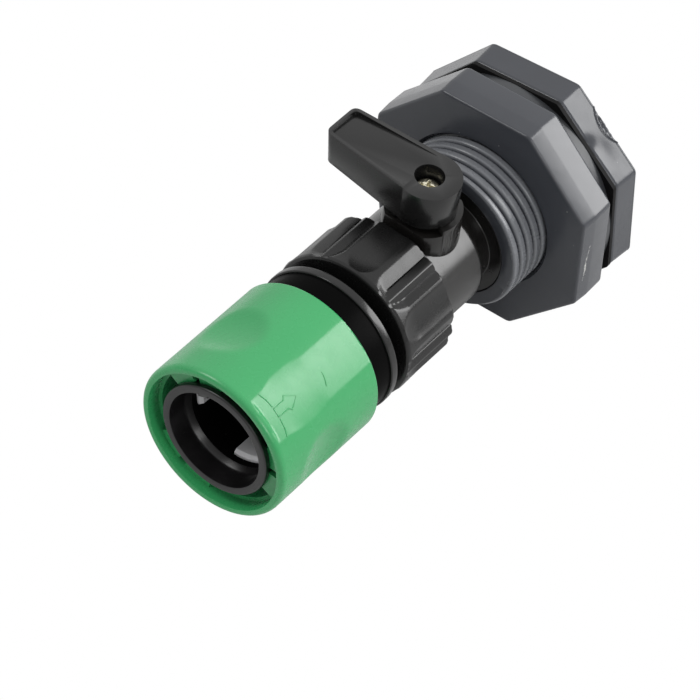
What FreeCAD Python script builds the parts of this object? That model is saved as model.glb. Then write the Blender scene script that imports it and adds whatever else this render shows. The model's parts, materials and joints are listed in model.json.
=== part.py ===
import FreeCAD, Part
import Sketcher
import math
import os

# Tank bulkhead fitting with a quarter-turn valve and a click hose coupling, in millimetres.
# Y runs along the pipe: the head is inside the tank at +Y, the coupling's mouth is at -Y.
# Z is up along the valve stem. The origin is on the pipe axis, in the head's sealing plane.

doc = FreeCAD.newDocument("bulkhead_fitting")
sheet = doc.addObject("Spreadsheet::Sheet", "Sizes")


class Size:
    """A length that knows its number and the sheet formula that gives it."""

    def __init__(self, value, formula):
        self.value = value
        self.formula = formula

    def join(self, other, sign, value):
        return Size(value, "(%s %s %s)" % (self.formula, sign, other.formula))

    def __add__(self, other):
        other = as_size(other)
        return self.join(other, "+", self.value + other.value)

    def __radd__(self, other):
        return as_size(other) + self

    def __sub__(self, other):
        other = as_size(other)
        return self.join(other, "-", self.value - other.value)

    def __rsub__(self, other):
        return as_size(other) - self

    def __mul__(self, other):
        other = as_size(other)
        return self.join(other, "*", self.value * other.value)

    def __rmul__(self, other):
        return as_size(other) * self

    def __truediv__(self, other):
        other = as_size(other)
        return self.join(other, "/", self.value / other.value)

    def __neg__(self):
        return Size(-self.value, "(0 - %s)" % self.formula)


def as_size(number):
    """A plain number as a Size; a Size is returned as it is."""
    if isinstance(number, Size):
        return number
    return Size(float(number), "%.9f" % number if number >= 0 else "(0 - %.9f)" % -number)


sheet_rows = []


def cell(name, value):
    """One driving dimension: a named cell of the sheet."""
    sheet_rows.append(name)
    row = len(sheet_rows)
    sheet.set("A%d" % row, name)
    sheet.set("B%d" % row, str(value))
    sheet.setAlias("B%d" % row, name)
    return Size(value, "Sizes.%s" % name)


# Bulkhead: 1 inch parallel pipe thread outside, 3/4 inch inside at both ends.
thread_radius = cell("thread_radius", 16.62)
shank_length = cell("shank_length", 22.45)
head_corner = cell("head_corner", 26.8)
head_thick = cell("head_thick", 6.65)
head_turn = 14.7
nut_corner = cell("nut_corner", 27.4)
nut_thick = cell("nut_thick", 9.25)
nut_turn = 17.5
corner_round = cell("corner_round", 1.2)
edge_break = cell("edge_break", 0.5)
gasket_inset = cell("gasket_inset", 0.4)
gasket_thick = cell("gasket_thick", 0.9)
washer_width = cell("washer_width", 7.43)
washer_thick = cell("washer_thick", 2.4)
socket_radius = cell("socket_radius", 13.22)
socket_depth = cell("socket_depth", 12.0)
web_thick = cell("web_thick", 3.1)
web_ledge = cell("web_ledge", 3.72)

# Clearances between pieces that turn or slide, and between pieces that only stand near.
thread_gap = cell("thread_gap", 0.1)
turning_gap = cell("turning_gap", 0.1)
slide_gap = cell("slide_gap", 0.25)
seat_gap = cell("seat_gap", 0.1)

# Valve body, ball and stem.
ball_reach = cell("ball_reach", 10.7)
ball_radius = cell("ball_radius", 8.0)
ball_bore = cell("ball_bore", 5.0)
ball_inset = cell("ball_inset", 1.4)
cavity_radius = cell("cavity_radius", 8.4)
barrel_radius = cell("barrel_radius", 12.4)
barrel_round = cell("barrel_round", 1.9)
barrel_back = cell("barrel_back", 7.2)
neck_step = cell("neck_step", 2.0)
valve_bore = cell("valve_bore", 6.5)
inlet_inset = cell("inlet_inset", 0.3)
seal_thick = cell("seal_thick", 1.5)
seat_thick = cell("seat_thick", 2.6)
seat_bore = cell("seat_bore", 5.6)
retainer_length = cell("retainer_length", 6.0)
spigot_reach = cell("spigot_reach", 17.6)
spigot_length = cell("spigot_length", 10.2)
turret_radius = cell("turret_radius", 7.6)
turret_foot = cell("turret_foot", 7.9)
turret_flat = cell("turret_flat", 6.1)
deck_height = cell("deck_height", 15.6)
stop_inside = cell("stop_inside", 5.2)
stop_gap = cell("stop_gap", 0.1)
lug_hang = cell("lug_hang", 1.1)
stem_radius = cell("stem_radius", 4.0)
stem_gap = cell("stem_gap", 0.08)
stem_flange = cell("stem_flange", 5.2)
flange_bottom = cell("flange_bottom", 8.35)
flange_thick = cell("flange_thick", 1.3)
tang_width = cell("tang_width", 3.0)
tang_depth = cell("tang_depth", 2.0)
tang_gap = cell("tang_gap", 0.1)
tang_clear = cell("tang_clear", 0.4)
drive_square = cell("drive_square", 5.4)
drive_top = cell("drive_top", 19.0)
ring_section = cell("ring_section", 0.48)
ring_slack = cell("ring_slack", 0.02)
ring_first = cell("ring_first", 1.68)
ring_pitch = cell("ring_pitch", 2.1)

# Lever and its screw.
lever_reach = cell("lever_reach", 21.6)
lever_end = cell("lever_end", 4.6)
lever_root = cell("lever_root", 6.2)
lever_top = cell("lever_top", 24.9)
lever_thick = cell("lever_thick", 8.0)
lever_draft = 5.0
lever_rim = cell("lever_rim", 0.6)
lever_dish = cell("lever_dish", 0.9)
lever_wall = cell("lever_wall", 1.5)
lever_roof = cell("lever_roof", 2.4)
lever_round = cell("lever_round", 0.45)
boss_radius = cell("boss_radius", 6.45)
screw_well = cell("screw_well", 3.0)
screw_seat = cell("screw_seat", 20.0)
screw_head = cell("screw_head", 2.6)
screw_head_thick = cell("screw_head_thick", 1.5)
screw_shank = cell("screw_shank", 1.45)
screw_length = cell("screw_length", 8.0)
cross_long = cell("cross_long", 3.1)
cross_wide = cell("cross_wide", 0.85)
cross_deep = cell("cross_deep", 1.05)

# Union nut, washer and the coupling's tail.
union_wall = cell("union_wall", 2.78)
union_length = cell("union_length", 14.7)
union_lip = cell("union_lip", 1.2)
union_chamfer = cell("union_chamfer", 0.8)
flute_depth = cell("flute_depth", 0.8)
flute_inset = cell("flute_inset", 4.0)
flute_cutter = cell("flute_cutter", 14.0)
rib_cutter = cell("rib_cutter", 12.4)
rib_depth = cell("rib_depth", 1.2)
flute_count = 6
union_washer_thick = cell("union_washer_thick", 1.8)
tail_inset = cell("tail_inset", 0.62)
tail_flange_thick = cell("tail_flange_thick", 1.75)
tail_ledge = cell("tail_ledge", 2.4)
tail_bore = cell("tail_bore", 5.5)
tail_gap = cell("tail_gap", 3.0)
collar_radius = cell("collar_radius", 15.8)
collar_thick = cell("collar_thick", 2.0)

# Click coupling: drum, inner barrel, sleeve, claws and spring.
drum_radius = cell("drum_radius", 15.4)
drum_inside = cell("drum_inside", 4.9)
drum_wall = cell("drum_wall", 1.2)
spring_pocket = cell("spring_pocket", 7.5)
spring_radius = cell("spring_radius", 12.8)
spring_wire = cell("spring_wire", 0.5)
spring_length = cell("spring_length", 13.0)
sleeve_stand_off = cell("sleeve_stand_off", 5.4)
sleeve_length = cell("sleeve_length", 29.1)
sleeve_radius = cell("sleeve_radius", 16.8)
sleeve_mouth = cell("sleeve_mouth", 15.17)
sleeve_travel = cell("sleeve_travel", 5.0)
lip_flare = cell("lip_flare", 0.5)
lip_length = cell("lip_length", 1.2)
claw_travel = cell("claw_travel", 1.2)
barrel_bore = cell("barrel_bore", 9.8)
barrel_wall = cell("barrel_wall", 1.5)
nose_bore = cell("nose_bore", 7.0)
nose_depth = cell("nose_depth", 12.0)
ring_inset = cell("ring_inset", 0.7)
ring_radius = cell("ring_radius", 12.35)
ring_bore = cell("ring_bore", 10.6)
ring_flange = cell("ring_flange", 1.2)
ring_depth = cell("ring_depth", 4.4)
ring_length = cell("ring_length", 5.8)
claw_front = cell("claw_front", 7.4)
claw_length = cell("claw_length", 4.6)
claw_inner = cell("claw_inner", 8.9)
claw_outer = cell("claw_outer", 12.9)
claw_half_angle = 24.0
claw_gap = cell("claw_gap", 0.3)
nose_inset = cell("nose_inset", 0.7)
claw_count = 3
panel_half = cell("panel_half", 5.1)
panel_flat = cell("panel_flat", 16.45)
panel_angle = 35.0
scoop_angle = -27.0
lug_angle = -31.0
scoop_radius = cell("scoop_radius", 17.0)
scoop_floor = cell("scoop_floor", 15.5)
scoop_shift = cell("scoop_shift", 1.3)
lug_inner = cell("lug_inner", 12.05)
lug_thick = cell("lug_thick", 1.0)
key_angle = -23.0
key_width = cell("key_width", 2.2)
key_height = cell("key_height", 0.8)

# Radii that follow the pipe thread or the barrel.
web_bore = socket_radius - web_ledge
neck_radius = barrel_radius - neck_step
union_radius = socket_radius + union_wall
tail_flange = socket_radius - tail_inset
tail_radius = tail_flange - tail_ledge

# Stations along Y, from the sealing plane towards the mouth.
washer_back = -gasket_thick
nut_back = washer_back - washer_thick
nut_front = nut_back - nut_thick
shank_front = -shank_length
web_back = head_thick - socket_depth
web_front = web_back - web_thick
inlet_end = web_front - seal_thick
ball_y = shank_front - ball_reach
barrel_end = ball_y + barrel_back
seat_shoulder = ball_y + ball_radius - ball_inset
front_seat_end = ball_y - ball_radius + ball_inset
tang_length = (ball_radius - ball_inset - seat_thick - tang_clear) * 2
spigot_end = ball_y - spigot_reach
spigot_start = spigot_end + spigot_length
tail_end = spigot_end - union_washer_thick
tail_flange_front = tail_end - tail_flange_thick
union_front = tail_flange_front - slide_gap - union_lip
union_back = union_front + union_length
collar_back = union_front - tail_gap
drum_back = collar_back - collar_thick
sleeve_back = drum_back - sleeve_stand_off
drum_front = sleeve_back - drum_inside
sleeve_front = sleeve_back - sleeve_length
ring_front = sleeve_front + ring_inset
ring_back = ring_front + ring_length
claw_from = ring_front + claw_front
claw_to = claw_from + claw_length
nose_front = claw_to + claw_gap + nose_inset
barrel_outer = barrel_bore + barrel_wall
spring_back = drum_front + spring_pocket
lever_bottom = lever_top - lever_thick


def new_body(label):
    """A part design body under the name of its piece."""
    body = doc.addObject("PartDesign::Body", label)
    body.Label = label
    return body


def origin_plane(body, role):
    return [item for item in body.Origin.OriginFeatures if item.Role == role][0]


def new_sketch(body, name, role, offset=None):
    """A sketch on one of the body's own planes, moved along the plane's normal."""
    sketch = body.newObject("Sketcher::SketchObject", name)
    sketch.AttachmentSupport = (origin_plane(body, role), [""])
    sketch.MapMode = "FlatFace"
    if offset is not None:
        place_offset(sketch, offset)
    return sketch


def place_offset(sketch, offset):
    shift = FreeCAD.Vector(0, 0, offset.value)
    sketch.AttachmentOffset = FreeCAD.Placement(shift, FreeCAD.Rotation())
    sketch.setExpression("AttachmentOffset.Base.z", offset.formula)


def bind(sketch, geometry, point, kind, size):
    """Hold one coordinate of a sketch point to its formula, or to the axis where it is nought."""
    if size.value == 0:
        axis = -2 if kind == "DistanceX" else -1
        sketch.addConstraint(Sketcher.Constraint("PointOnObject", geometry, point, axis))
        return
    index = sketch.addConstraint(Sketcher.Constraint(kind, -1, 1, geometry, point, size.value))
    sketch.setExpression("Constraints[%d]" % index, size.formula)


def draw_outline(sketch, points):
    """A closed outline of straight lines through points of (across, along) sizes."""
    spots = [(as_size(across), as_size(along)) for across, along in points]
    vectors = [FreeCAD.Vector(across.value, along.value, 0) for across, along in spots]
    first = sketch.GeometryCount
    count = len(vectors)
    for index in range(count):
        line = Part.LineSegment(vectors[index], vectors[(index + 1) % count])
        sketch.addGeometry(line, False)
    for index in range(count):
        following = first + (index + 1) % count
        sketch.addConstraint(Sketcher.Constraint("Coincident", first + index, 2, following, 1))
    for index, (across, along) in enumerate(spots):
        bind(sketch, first + index, 1, "DistanceX", across)
        bind(sketch, first + index, 1, "DistanceY", along)


def draw_circle(sketch, radius, across=0, along=0):
    """A circle whose radius and centre are held to their formulas."""
    radius = as_size(radius)
    across = as_size(across)
    along = as_size(along)
    centre = FreeCAD.Vector(across.value, along.value, 0)
    circle = Part.Circle(centre, FreeCAD.Vector(0, 0, 1), radius.value)
    geometry = sketch.addGeometry(circle, False)
    index = sketch.addConstraint(Sketcher.Constraint("Radius", geometry, radius.value))
    sketch.setExpression("Constraints[%d]" % index, radius.formula)
    bind(sketch, geometry, 3, "DistanceX", across)
    bind(sketch, geometry, 3, "DistanceY", along)


def polar(radius, degrees):
    """A point at a radius and an angle, as a pair of sizes."""
    angle = math.radians(degrees)
    return (radius * math.cos(angle), radius * math.sin(angle))


def turn_feature(body, kind, name, outline):
    """Turn an outline of (radius, station) once round the pipe axis."""
    sketch = new_sketch(body, name + "_outline", "XY_Plane")
    draw_outline(sketch, outline)
    feature = body.newObject(kind, name)
    feature.Profile = sketch
    feature.ReferenceAxis = (sketch, ["V_Axis"])
    feature.Angle = 360.0
    sketch.Visibility = False
    body.Tip = feature
    return feature


def turned_body(label, outline):
    body = new_body(label)
    turn_feature(body, "PartDesign::Revolution", label + "_turned", outline)
    return body


def raise_feature(body, kind, name, sketch, length, backwards=False):
    """A pad or pocket from a sketch, as long as its formula says."""
    feature = body.newObject(kind, name)
    feature.Profile = sketch
    feature.Length = length.value
    feature.setExpression("Length", length.formula)
    feature.Reversed = backwards
    sketch.Visibility = False
    body.Tip = feature
    return feature


def soften(body, kind, name, chosen, size):
    """A fillet or chamfer on the edges that the test chooses."""
    doc.recompute()
    base = body.Tip
    names = ["Edge%d" % (i + 1) for i, edge in enumerate(base.Shape.Edges) if chosen(edge)]
    feature = body.newObject(kind, name)
    feature.Base = (base, names)
    if kind.endswith("Fillet"):
        feature.Radius = size.value
        feature.setExpression("Radius", size.formula)
    else:
        feature.Size = size.value
        feature.setExpression("Size", size.formula)
    body.Tip = feature
    return feature


def along_pipe(edge):
    """True for a straight edge that runs along Y."""
    box = edge.BoundBox
    return box.YLength > 0.1 and box.XLength < 0.001 and box.ZLength < 0.001


def circle_at(edge, radius, station):
    """True for a circle round the pipe axis of about this radius and station."""
    box = edge.BoundBox
    flat = box.YLength < 0.001 and abs(box.YMin - station.value) < 0.01
    return flat and abs(box.XMax - radius.value) < 0.01 and abs(box.XMin + radius.value) < 0.01


def octagon(corner, turn):
    """Eight corners of a regular octagon in the XZ plane, turned by some degrees from Z."""
    return [polar(corner, 90.0 - turn - 45.0 * step) for step in range(8)]


def bind_place(item, across, along, up):
    """Place an object at three sizes."""
    item.Placement.Base = FreeCAD.Vector(across.value, along.value, up.value)
    item.setExpression("Placement.Base.x", across.formula)
    item.setExpression("Placement.Base.y", along.formula)
    item.setExpression("Placement.Base.z", up.formula)


def primitive(kind, name, **sizes):
    """A solid primitive whose properties are bound to formulas."""
    item = doc.addObject(kind, name)
    for key, size in sizes.items():
        size = as_size(size)
        setattr(item, key, size.value)
        item.setExpression(key, size.formula)
    return item


def combine(kind, name, base, tool):
    item = doc.addObject(kind, name)
    item.Base = base
    item.Tool = tool
    return item


def fuse_all(name, pieces):
    item = doc.addObject("Part::MultiFuse", name)
    item.Shapes = pieces
    return item


TO_Y = FreeCAD.Rotation(FreeCAD.Vector(1, 0, 0), -90)
TO_X = FreeCAD.Rotation(FreeCAD.Vector(0, 1, 0), 90)
zero = as_size(0)


def turned_up(body, name, outline, centre):
    """Turn an outline of (radius, height) once round a vertical axis at a station."""
    sketch = new_sketch(body, name + "_outline", "XZ_Plane", -centre)
    draw_outline(sketch, outline)
    feature = body.newObject("PartDesign::Revolution", name)
    feature.Profile = sketch
    feature.ReferenceAxis = (sketch, ["V_Axis"])
    feature.Angle = 360.0
    sketch.Visibility = False
    body.Tip = feature
    return feature


def tool_set(name, shapes):
    """Several cutting or joining shapes as one tool."""
    tool = doc.addObject("Part::Feature", name)
    tool.Shape = Part.makeCompound(shapes)
    return tool


def ring_sector(inner, outer, start, end, angle, half_angle):
    """A block of a ring round the pipe axis, centred on an angle from Z towards X."""
    points = [(inner, start), (outer, start), (outer, end), (inner, end)]
    return sector(points, angle, half_angle)


def sector(points, angle, half_angle):
    """An outline of (radius, station) turned through part of a circle round the pipe axis."""
    corners = [FreeCAD.Vector(radius.value, along.value, 0) for radius, along in points]
    face = Part.Face(Part.makePolygon(corners + [corners[0]]))
    pipe_axis = FreeCAD.Vector(0, 1, 0)
    centre = FreeCAD.Vector(0, 0, 0)
    block = face.revolve(centre, pipe_axis, 2 * half_angle)
    block.rotate(centre, pipe_axis, angle - half_angle - 90.0)
    return block


# The tank connector's body is one PVC moulding: an octagonal head and a threaded shank.
# Both ends take a 3/4 inch pipe thread, with a web between them.
bulkhead = new_body("bulkhead_body")
head_shape = new_sketch(bulkhead, "head_shape", "XZ_Plane")
draw_outline(head_shape, octagon(head_corner, head_turn))
raise_feature(bulkhead, "PartDesign::Pad", "head", head_shape, head_thick, backwards=True)
soften(bulkhead, "PartDesign::Fillet", "head_corners", along_pipe, corner_round)
soften(bulkhead, "PartDesign::Chamfer", "head_edges", lambda edge: not along_pipe(edge), edge_break)
shank_break = edge_break * 1.4
turn_feature(bulkhead, "PartDesign::Revolution", "shank", [
    (web_bore, shank_front),
    (thread_radius - shank_break, shank_front),
    (thread_radius, shank_front + shank_break),
    (thread_radius, head_thick / 2),
    (web_bore, head_thick / 2),
])
overshoot = as_size(1.0)
inlet_bore = socket_radius + thread_gap
turn_feature(bulkhead, "PartDesign::Groove", "sockets", [
    (0, shank_front - overshoot),
    (inlet_bore + edge_break + overshoot, shank_front - overshoot),
    (inlet_bore, shank_front + edge_break),
    (inlet_bore, web_front),
    (web_bore, web_front),
    (web_bore, web_back),
    (socket_radius, web_back),
    (socket_radius, head_thick - edge_break),
    (socket_radius + edge_break + overshoot, head_thick + overshoot),
    (0, head_thick + overshoot),
])

# The rubber gasket has the head's outline. It lies on the head and seals on the tank's wall.
gasket = new_body("head_gasket")
gasket_shape = new_sketch(gasket, "gasket_shape", "XZ_Plane")
draw_outline(gasket_shape, octagon(head_corner - gasket_inset, head_turn))
draw_circle(gasket_shape, thread_radius + slide_gap)
raise_feature(gasket, "PartDesign::Pad", "gasket_sheet", gasket_shape, gasket_thick)
soften(gasket, "PartDesign::Fillet", "gasket_corners", along_pipe, corner_round)

# The slip washer lets the nut turn without dragging the gasket.
washer_bore = thread_radius + slide_gap
turned_body("slip_washer", [
    (washer_bore, nut_back),
    (washer_bore + washer_width, nut_back),
    (washer_bore + washer_width, washer_back),
    (washer_bore, washer_back),
])

# The octagonal nut runs on the shank's thread and clamps the tank wall.
nut = new_body("bulkhead_nut")
nut_shape = new_sketch(nut, "nut_shape", "XZ_Plane", -nut_back)
draw_outline(nut_shape, octagon(nut_corner, nut_turn))
raise_feature(nut, "PartDesign::Pad", "nut_block", nut_shape, nut_thick)
soften(nut, "PartDesign::Fillet", "nut_corners", along_pipe, corner_round)
soften(nut, "PartDesign::Chamfer", "nut_edges", lambda edge: not along_pipe(edge), edge_break)
nut_bore = thread_radius + turning_gap
turn_feature(nut, "PartDesign::Groove", "nut_thread", [
    (0, nut_front - overshoot),
    (nut_bore + edge_break + overshoot, nut_front - overshoot),
    (nut_bore, nut_front + edge_break),
    (nut_bore, nut_back - edge_break),
    (nut_bore + edge_break + overshoot, nut_back + overshoot),
    (0, nut_back + overshoot),
])

# A flat ring seals the valve's inlet end against the web.
turned_body("inlet_seal", [
    (web_bore, inlet_end),
    (socket_radius - slide_gap, inlet_end),
    (socket_radius - slide_gap, web_front),
    (web_bore, web_front),
])

# The valve body: a threaded inlet, a barrel round the ball, a threaded spigot and a turret for
# the stem, with a flat front and back. A wall on the turret's deck stops the lever at both ends.
valve = new_body("valve_tube")
inlet_start = shank_front + inlet_inset
turn_feature(valve, "PartDesign::Revolution", "valve_turned", [
    (valve_bore, inlet_end),
    (socket_radius - edge_break, inlet_end),
    (socket_radius, inlet_end - edge_break),
    (socket_radius, inlet_start),
    (neck_radius, inlet_start),
    (neck_radius, barrel_end),
    (barrel_radius, barrel_end),
    (barrel_radius, spigot_start),
    (socket_radius, spigot_start),
    (socket_radius, spigot_end + edge_break),
    (socket_radius - edge_break, spigot_end),
    (cavity_radius, spigot_end),
    (cavity_radius, seat_shoulder),
    (valve_bore, seat_shoulder),
])
soften(valve, "PartDesign::Fillet", "barrel_shoulder",
       lambda edge: circle_at(edge, barrel_radius, barrel_end), barrel_round)
flange_top = flange_bottom + flange_thick
turret_low = cavity_radius + edge_break


def deck_sector(name, outer, low, height, first, sweep):
    """A block of a ring round the stem, from one angle through a sweep, counted from +X."""
    disc = primitive("Part::Cylinder", name + "_disc", Radius=outer, Height=height)
    room = primitive("Part::Cylinder", name + "_room", Radius=stop_inside, Height=height)
    disc.Angle = sweep
    disc.Placement.Rotation = FreeCAD.Rotation(FreeCAD.Vector(0, 0, 1), first)
    for item in (disc, room):
        bind_place(item, zero, ball_y, low)
    return combine("Part::Cut", name, disc, room)


# The wall stands on the right, clear of the lever's lug by a small angle at either end.
LEVER_TURN = 90.0
WALL_START = -24.0
WALL_SWEEP = 90.0
STOP_CLEARANCE = 2.0
cone = primitive("Part::Cone", "turret_cone", Radius1=turret_foot, Radius2=turret_radius,
                 Height=deck_height - turret_low)
bind_place(cone, zero, ball_y, turret_low)
stop_top = lever_bottom - stop_gap
wall = deck_sector("stop_wall", turret_radius, deck_height, stop_top - deck_height, WALL_START, WALL_SWEEP)
slab = primitive("Part::Box", "turret_slab", Length=turret_foot * 2, Width=turret_flat * 2,
                 Height=lever_bottom)
bind_place(slab, -turret_foot, ball_y - turret_flat, zero)
turret = combine("Part::Common", "turret", fuse_all("turret_round", [cone, wall]), slab)
flange_room = primitive("Part::Cylinder", "flange_room", Radius=stem_flange + slide_gap,
                        Height=flange_top + stem_gap)
stem_hole = primitive("Part::Cylinder", "stem_hole", Radius=stem_radius + stem_gap, Height=lever_bottom)
for item in (flange_room, stem_hole):
    bind_place(item, zero, ball_y, zero)
combine("Part::Cut", "valve_body", fuse_all("valve_with_turret", [valve, turret]),
        fuse_all("stem_room", [flange_room, stem_hole]))


def seat(label, back, front):
    """One plastic seat ring, hollowed to the ball."""
    outer = primitive("Part::Cylinder", label + "_outer", Radius=cavity_radius - stem_gap,
                      Height=back - front)
    inner = primitive("Part::Cylinder", label + "_inner", Radius=seat_bore, Height=back - front)
    for item in (outer, inner):
        item.Placement.Rotation = TO_Y
        bind_place(item, zero, front, zero)
    room = primitive("Part::Sphere", label + "_room", Radius=ball_radius + seat_gap)
    bind_place(room, zero, ball_y, zero)
    ring = combine("Part::Cut", label + "_ring", outer, inner)
    combine("Part::Cut", label, ring, room).Label = label


# Two plastic rings carry the ball, and a ring pressed into the spigot holds them in.
seat("seat_rear", seat_shoulder, seat_shoulder - seat_thick)
seat("seat_front", front_seat_end + seat_thick, front_seat_end)
retainer = turned_body("seat_retainer", [
    (seat_bore, front_seat_end),
    (cavity_radius - stem_gap, front_seat_end),
    (cavity_radius - stem_gap, front_seat_end - retainer_length),
    (seat_bore, front_seat_end - retainer_length),
])
slot_shape = new_sketch(retainer, "slot_shape", "XZ_Plane", retainer_length - front_seat_end)
slot_half = tang_width / 2
draw_outline(slot_shape, [
    (-cavity_radius - overshoot, -slot_half),
    (cavity_radius + overshoot, -slot_half),
    (cavity_radius + overshoot, slot_half),
    (-cavity_radius - overshoot, slot_half),
])
raise_feature(retainer, "PartDesign::Pocket", "driver_slot", slot_shape, seal_thick)

# The ball is drawn closed: its bore lies across the pipe, and the stem's tang sits in its slot.
sphere = primitive("Part::Sphere", "ball_sphere", Radius=ball_radius)
bind_place(sphere, zero, ball_y, zero)
bore = primitive("Part::Cylinder", "ball_bore_hole", Radius=ball_bore, Height=ball_radius * 2)
bore.Placement.Rotation = TO_X
bind_place(bore, -ball_radius, ball_y, zero)
slot_wide = tang_width + tang_gap * 2
slot_long = tang_length + tang_gap * 2
slot = primitive("Part::Box", "ball_slot", Width=slot_long, Length=slot_wide, Height=ball_radius)
bind_place(slot, -slot_wide / 2, ball_y - slot_long / 2, flange_bottom - tang_depth - tang_gap)
bored = combine("Part::Cut", "ball_bored", sphere, bore)
combine("Part::Cut", "ball", bored, slot)

# The stem turns the ball: a tang below, a flange that can't blow out, two ring grooves and a
# square drive for the lever.
stem = new_body("stem")
shaft_top = deck_height + edge_break
groove_half = ring_section + stem_gap
groove_floor = stem_radius - ring_section * 2 + ring_slack / 2
ring_low = flange_top + ring_first
ring_high = ring_low + ring_pitch
turned_up(stem, "shaft", [
    (0, flange_bottom),
    (stem_flange, flange_bottom),
    (stem_flange, flange_top),
    (stem_radius, flange_top),
    (stem_radius, ring_low - groove_half),
    (groove_floor, ring_low - groove_half),
    (groove_floor, ring_low + groove_half),
    (stem_radius, ring_low + groove_half),
    (stem_radius, ring_high - groove_half),
    (groove_floor, ring_high - groove_half),
    (groove_floor, ring_high + groove_half),
    (stem_radius, ring_high + groove_half),
    (stem_radius, shaft_top),
    (0, shaft_top),
], ball_y)


def rectangle(across, along):
    """A rectangle of two whole widths, centred over the ball."""
    return [(across * side / 2, ball_y + along * end / 2)
            for side, end in ((-1, -1), (1, -1), (1, 1), (-1, 1))]


drive_shape = new_sketch(stem, "drive_shape", "XY_Plane", shaft_top)
draw_outline(drive_shape, rectangle(drive_square, drive_square))
raise_feature(stem, "PartDesign::Pad", "drive", drive_shape, drive_top - shaft_top)
tang_shape = new_sketch(stem, "tang_shape", "XY_Plane", flange_bottom)
draw_outline(tang_shape, rectangle(tang_width, tang_length))
raise_feature(stem, "PartDesign::Pad", "tang", tang_shape, tang_depth, backwards=True)
screw_end = screw_seat - screw_length
screw_hole = new_sketch(stem, "screw_hole_shape", "XY_Plane", drive_top)
draw_circle(screw_hole, screw_shank + stem_gap, 0, ball_y)
hole_depth = drive_top - screw_end + edge_break
raise_feature(stem, "PartDesign::Pocket", "screw_hole", screw_hole, hole_depth)

# Two small rubber rings seal the stem in its turret.
for label, height in (("stem_ring_lower", ring_low), ("stem_ring_upper", ring_high)):
    seal = primitive("Part::Torus", label, Radius1=stem_radius - ring_section + ring_slack,
                     Radius2=ring_section)
    bind_place(seal, zero, ball_y, height)

# The lever points across the pipe when the valve is shut. It is a moulded arm with a shallow
# dish on top, hollow below, and a round boss with a well for the screw.
arm = new_body("lever_moulding")
arm_shape = new_sketch(arm, "arm_shape", "XY_Plane", lever_top)
draw_outline(arm_shape, [
    (0, ball_y - lever_root),
    (0, ball_y + lever_root),
    (-lever_reach, ball_y + lever_end),
    (-lever_reach, ball_y - lever_end),
])
arm_pad = raise_feature(arm, "PartDesign::Pad", "arm", arm_shape, lever_thick, backwards=True)
arm_pad.TaperAngle = -lever_draft
boss_shape = new_sketch(arm, "boss_shape", "XY_Plane", lever_top)
draw_circle(boss_shape, boss_radius, 0, ball_y)
raise_feature(arm, "PartDesign::Pad", "boss", boss_shape, lever_thick, backwards=True)


def at_lever_end(edge):
    """True for the two upright corners at the free end of the arm."""
    box = edge.BoundBox
    return box.ZLength > 1.0 and box.XMax < -lever_reach.value + 2.0


def on_lever_top(edge):
    box = edge.BoundBox
    return box.ZLength < 0.001 and abs(box.ZMax - lever_top.value) < 0.001


soften(arm, "PartDesign::Fillet", "end_corners", at_lever_end, corner_round)
soften(arm, "PartDesign::Fillet", "top_edges", on_lever_top, lever_round)
hollow_shape = new_sketch(arm, "hollow_shape", "XY_Plane", lever_bottom)
hollow_start = boss_radius + lever_wall
hollow_half = lever_end - lever_wall - edge_break
draw_outline(hollow_shape, [
    (-hollow_start, ball_y - hollow_half - edge_break),
    (-hollow_start, ball_y + hollow_half + edge_break),
    (lever_wall + edge_break - lever_reach, ball_y + hollow_half),
    (lever_wall + edge_break - lever_reach, ball_y - hollow_half),
])
raise_feature(arm, "PartDesign::Pocket", "arm_hollow", hollow_shape,
              lever_thick - lever_roof, backwards=True)
drive_room = new_sketch(arm, "drive_room_shape", "XY_Plane", lever_bottom)
room_square = drive_square + stem_gap * 2
draw_outline(drive_room, rectangle(room_square, room_square))
raise_feature(arm, "PartDesign::Pocket", "drive_room", drive_room,
              drive_top + stem_gap - lever_bottom, backwards=True)
well_shape = new_sketch(arm, "well_shape", "XY_Plane", lever_top)
draw_circle(well_shape, screw_well, 0, ball_y)
raise_feature(arm, "PartDesign::Pocket", "screw_well", well_shape, lever_top - screw_seat)
shank_hole = new_sketch(arm, "shank_hole_shape", "XY_Plane", screw_seat)
draw_circle(shank_hole, screw_shank + stem_gap, 0, ball_y)
raise_feature(arm, "PartDesign::Pocket", "shank_hole", shank_hole, screw_seat - drive_top)

# The stop lug is a skirt under the boss, on the side away from the turret's wall.
lug_low = lever_bottom - lug_hang
lug_start = WALL_START + WALL_SWEEP + STOP_CLEARANCE
lug_sweep = 360.0 - WALL_SWEEP - LEVER_TURN - STOP_CLEARANCE * 2
lug = deck_sector("stop_lug", boss_radius, lug_low, lug_hang + lever_wall, lug_start, lug_sweep)
whole_lever = fuse_all("lever_with_lug", [arm, lug])

# The dish is deepest at the arm's free end and runs out at the boss.
dish_end = lever_reach - lever_rim
dish_wedge = new_body("dish_wedge")
wedge_shape = new_sketch(dish_wedge, "wedge_shape", "XZ_Plane", lever_root - ball_y)
draw_outline(wedge_shape, [
    (-dish_end, lever_top - lever_dish),
    (-lever_rim, lever_top),
    (-lever_rim, lever_top + overshoot),
    (-dish_end, lever_top + overshoot),
])
raise_feature(dish_wedge, "PartDesign::Pad", "wedge", wedge_shape, lever_root * 2, backwards=True)
dish_plan = new_body("dish_plan")
plan_shape = new_sketch(dish_plan, "plan_shape", "XY_Plane", lever_top - lever_dish)
draw_outline(plan_shape, [
    (0, ball_y - lever_root + lever_rim),
    (0, ball_y + lever_root - lever_rim),
    (-dish_end, ball_y + lever_end - lever_rim),
    (-dish_end, ball_y - lever_end + lever_rim),
])
raise_feature(dish_plan, "PartDesign::Pad", "plan", plan_shape, lever_dish + overshoot)
dish = combine("Part::Common", "dish", dish_wedge, dish_plan)
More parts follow.
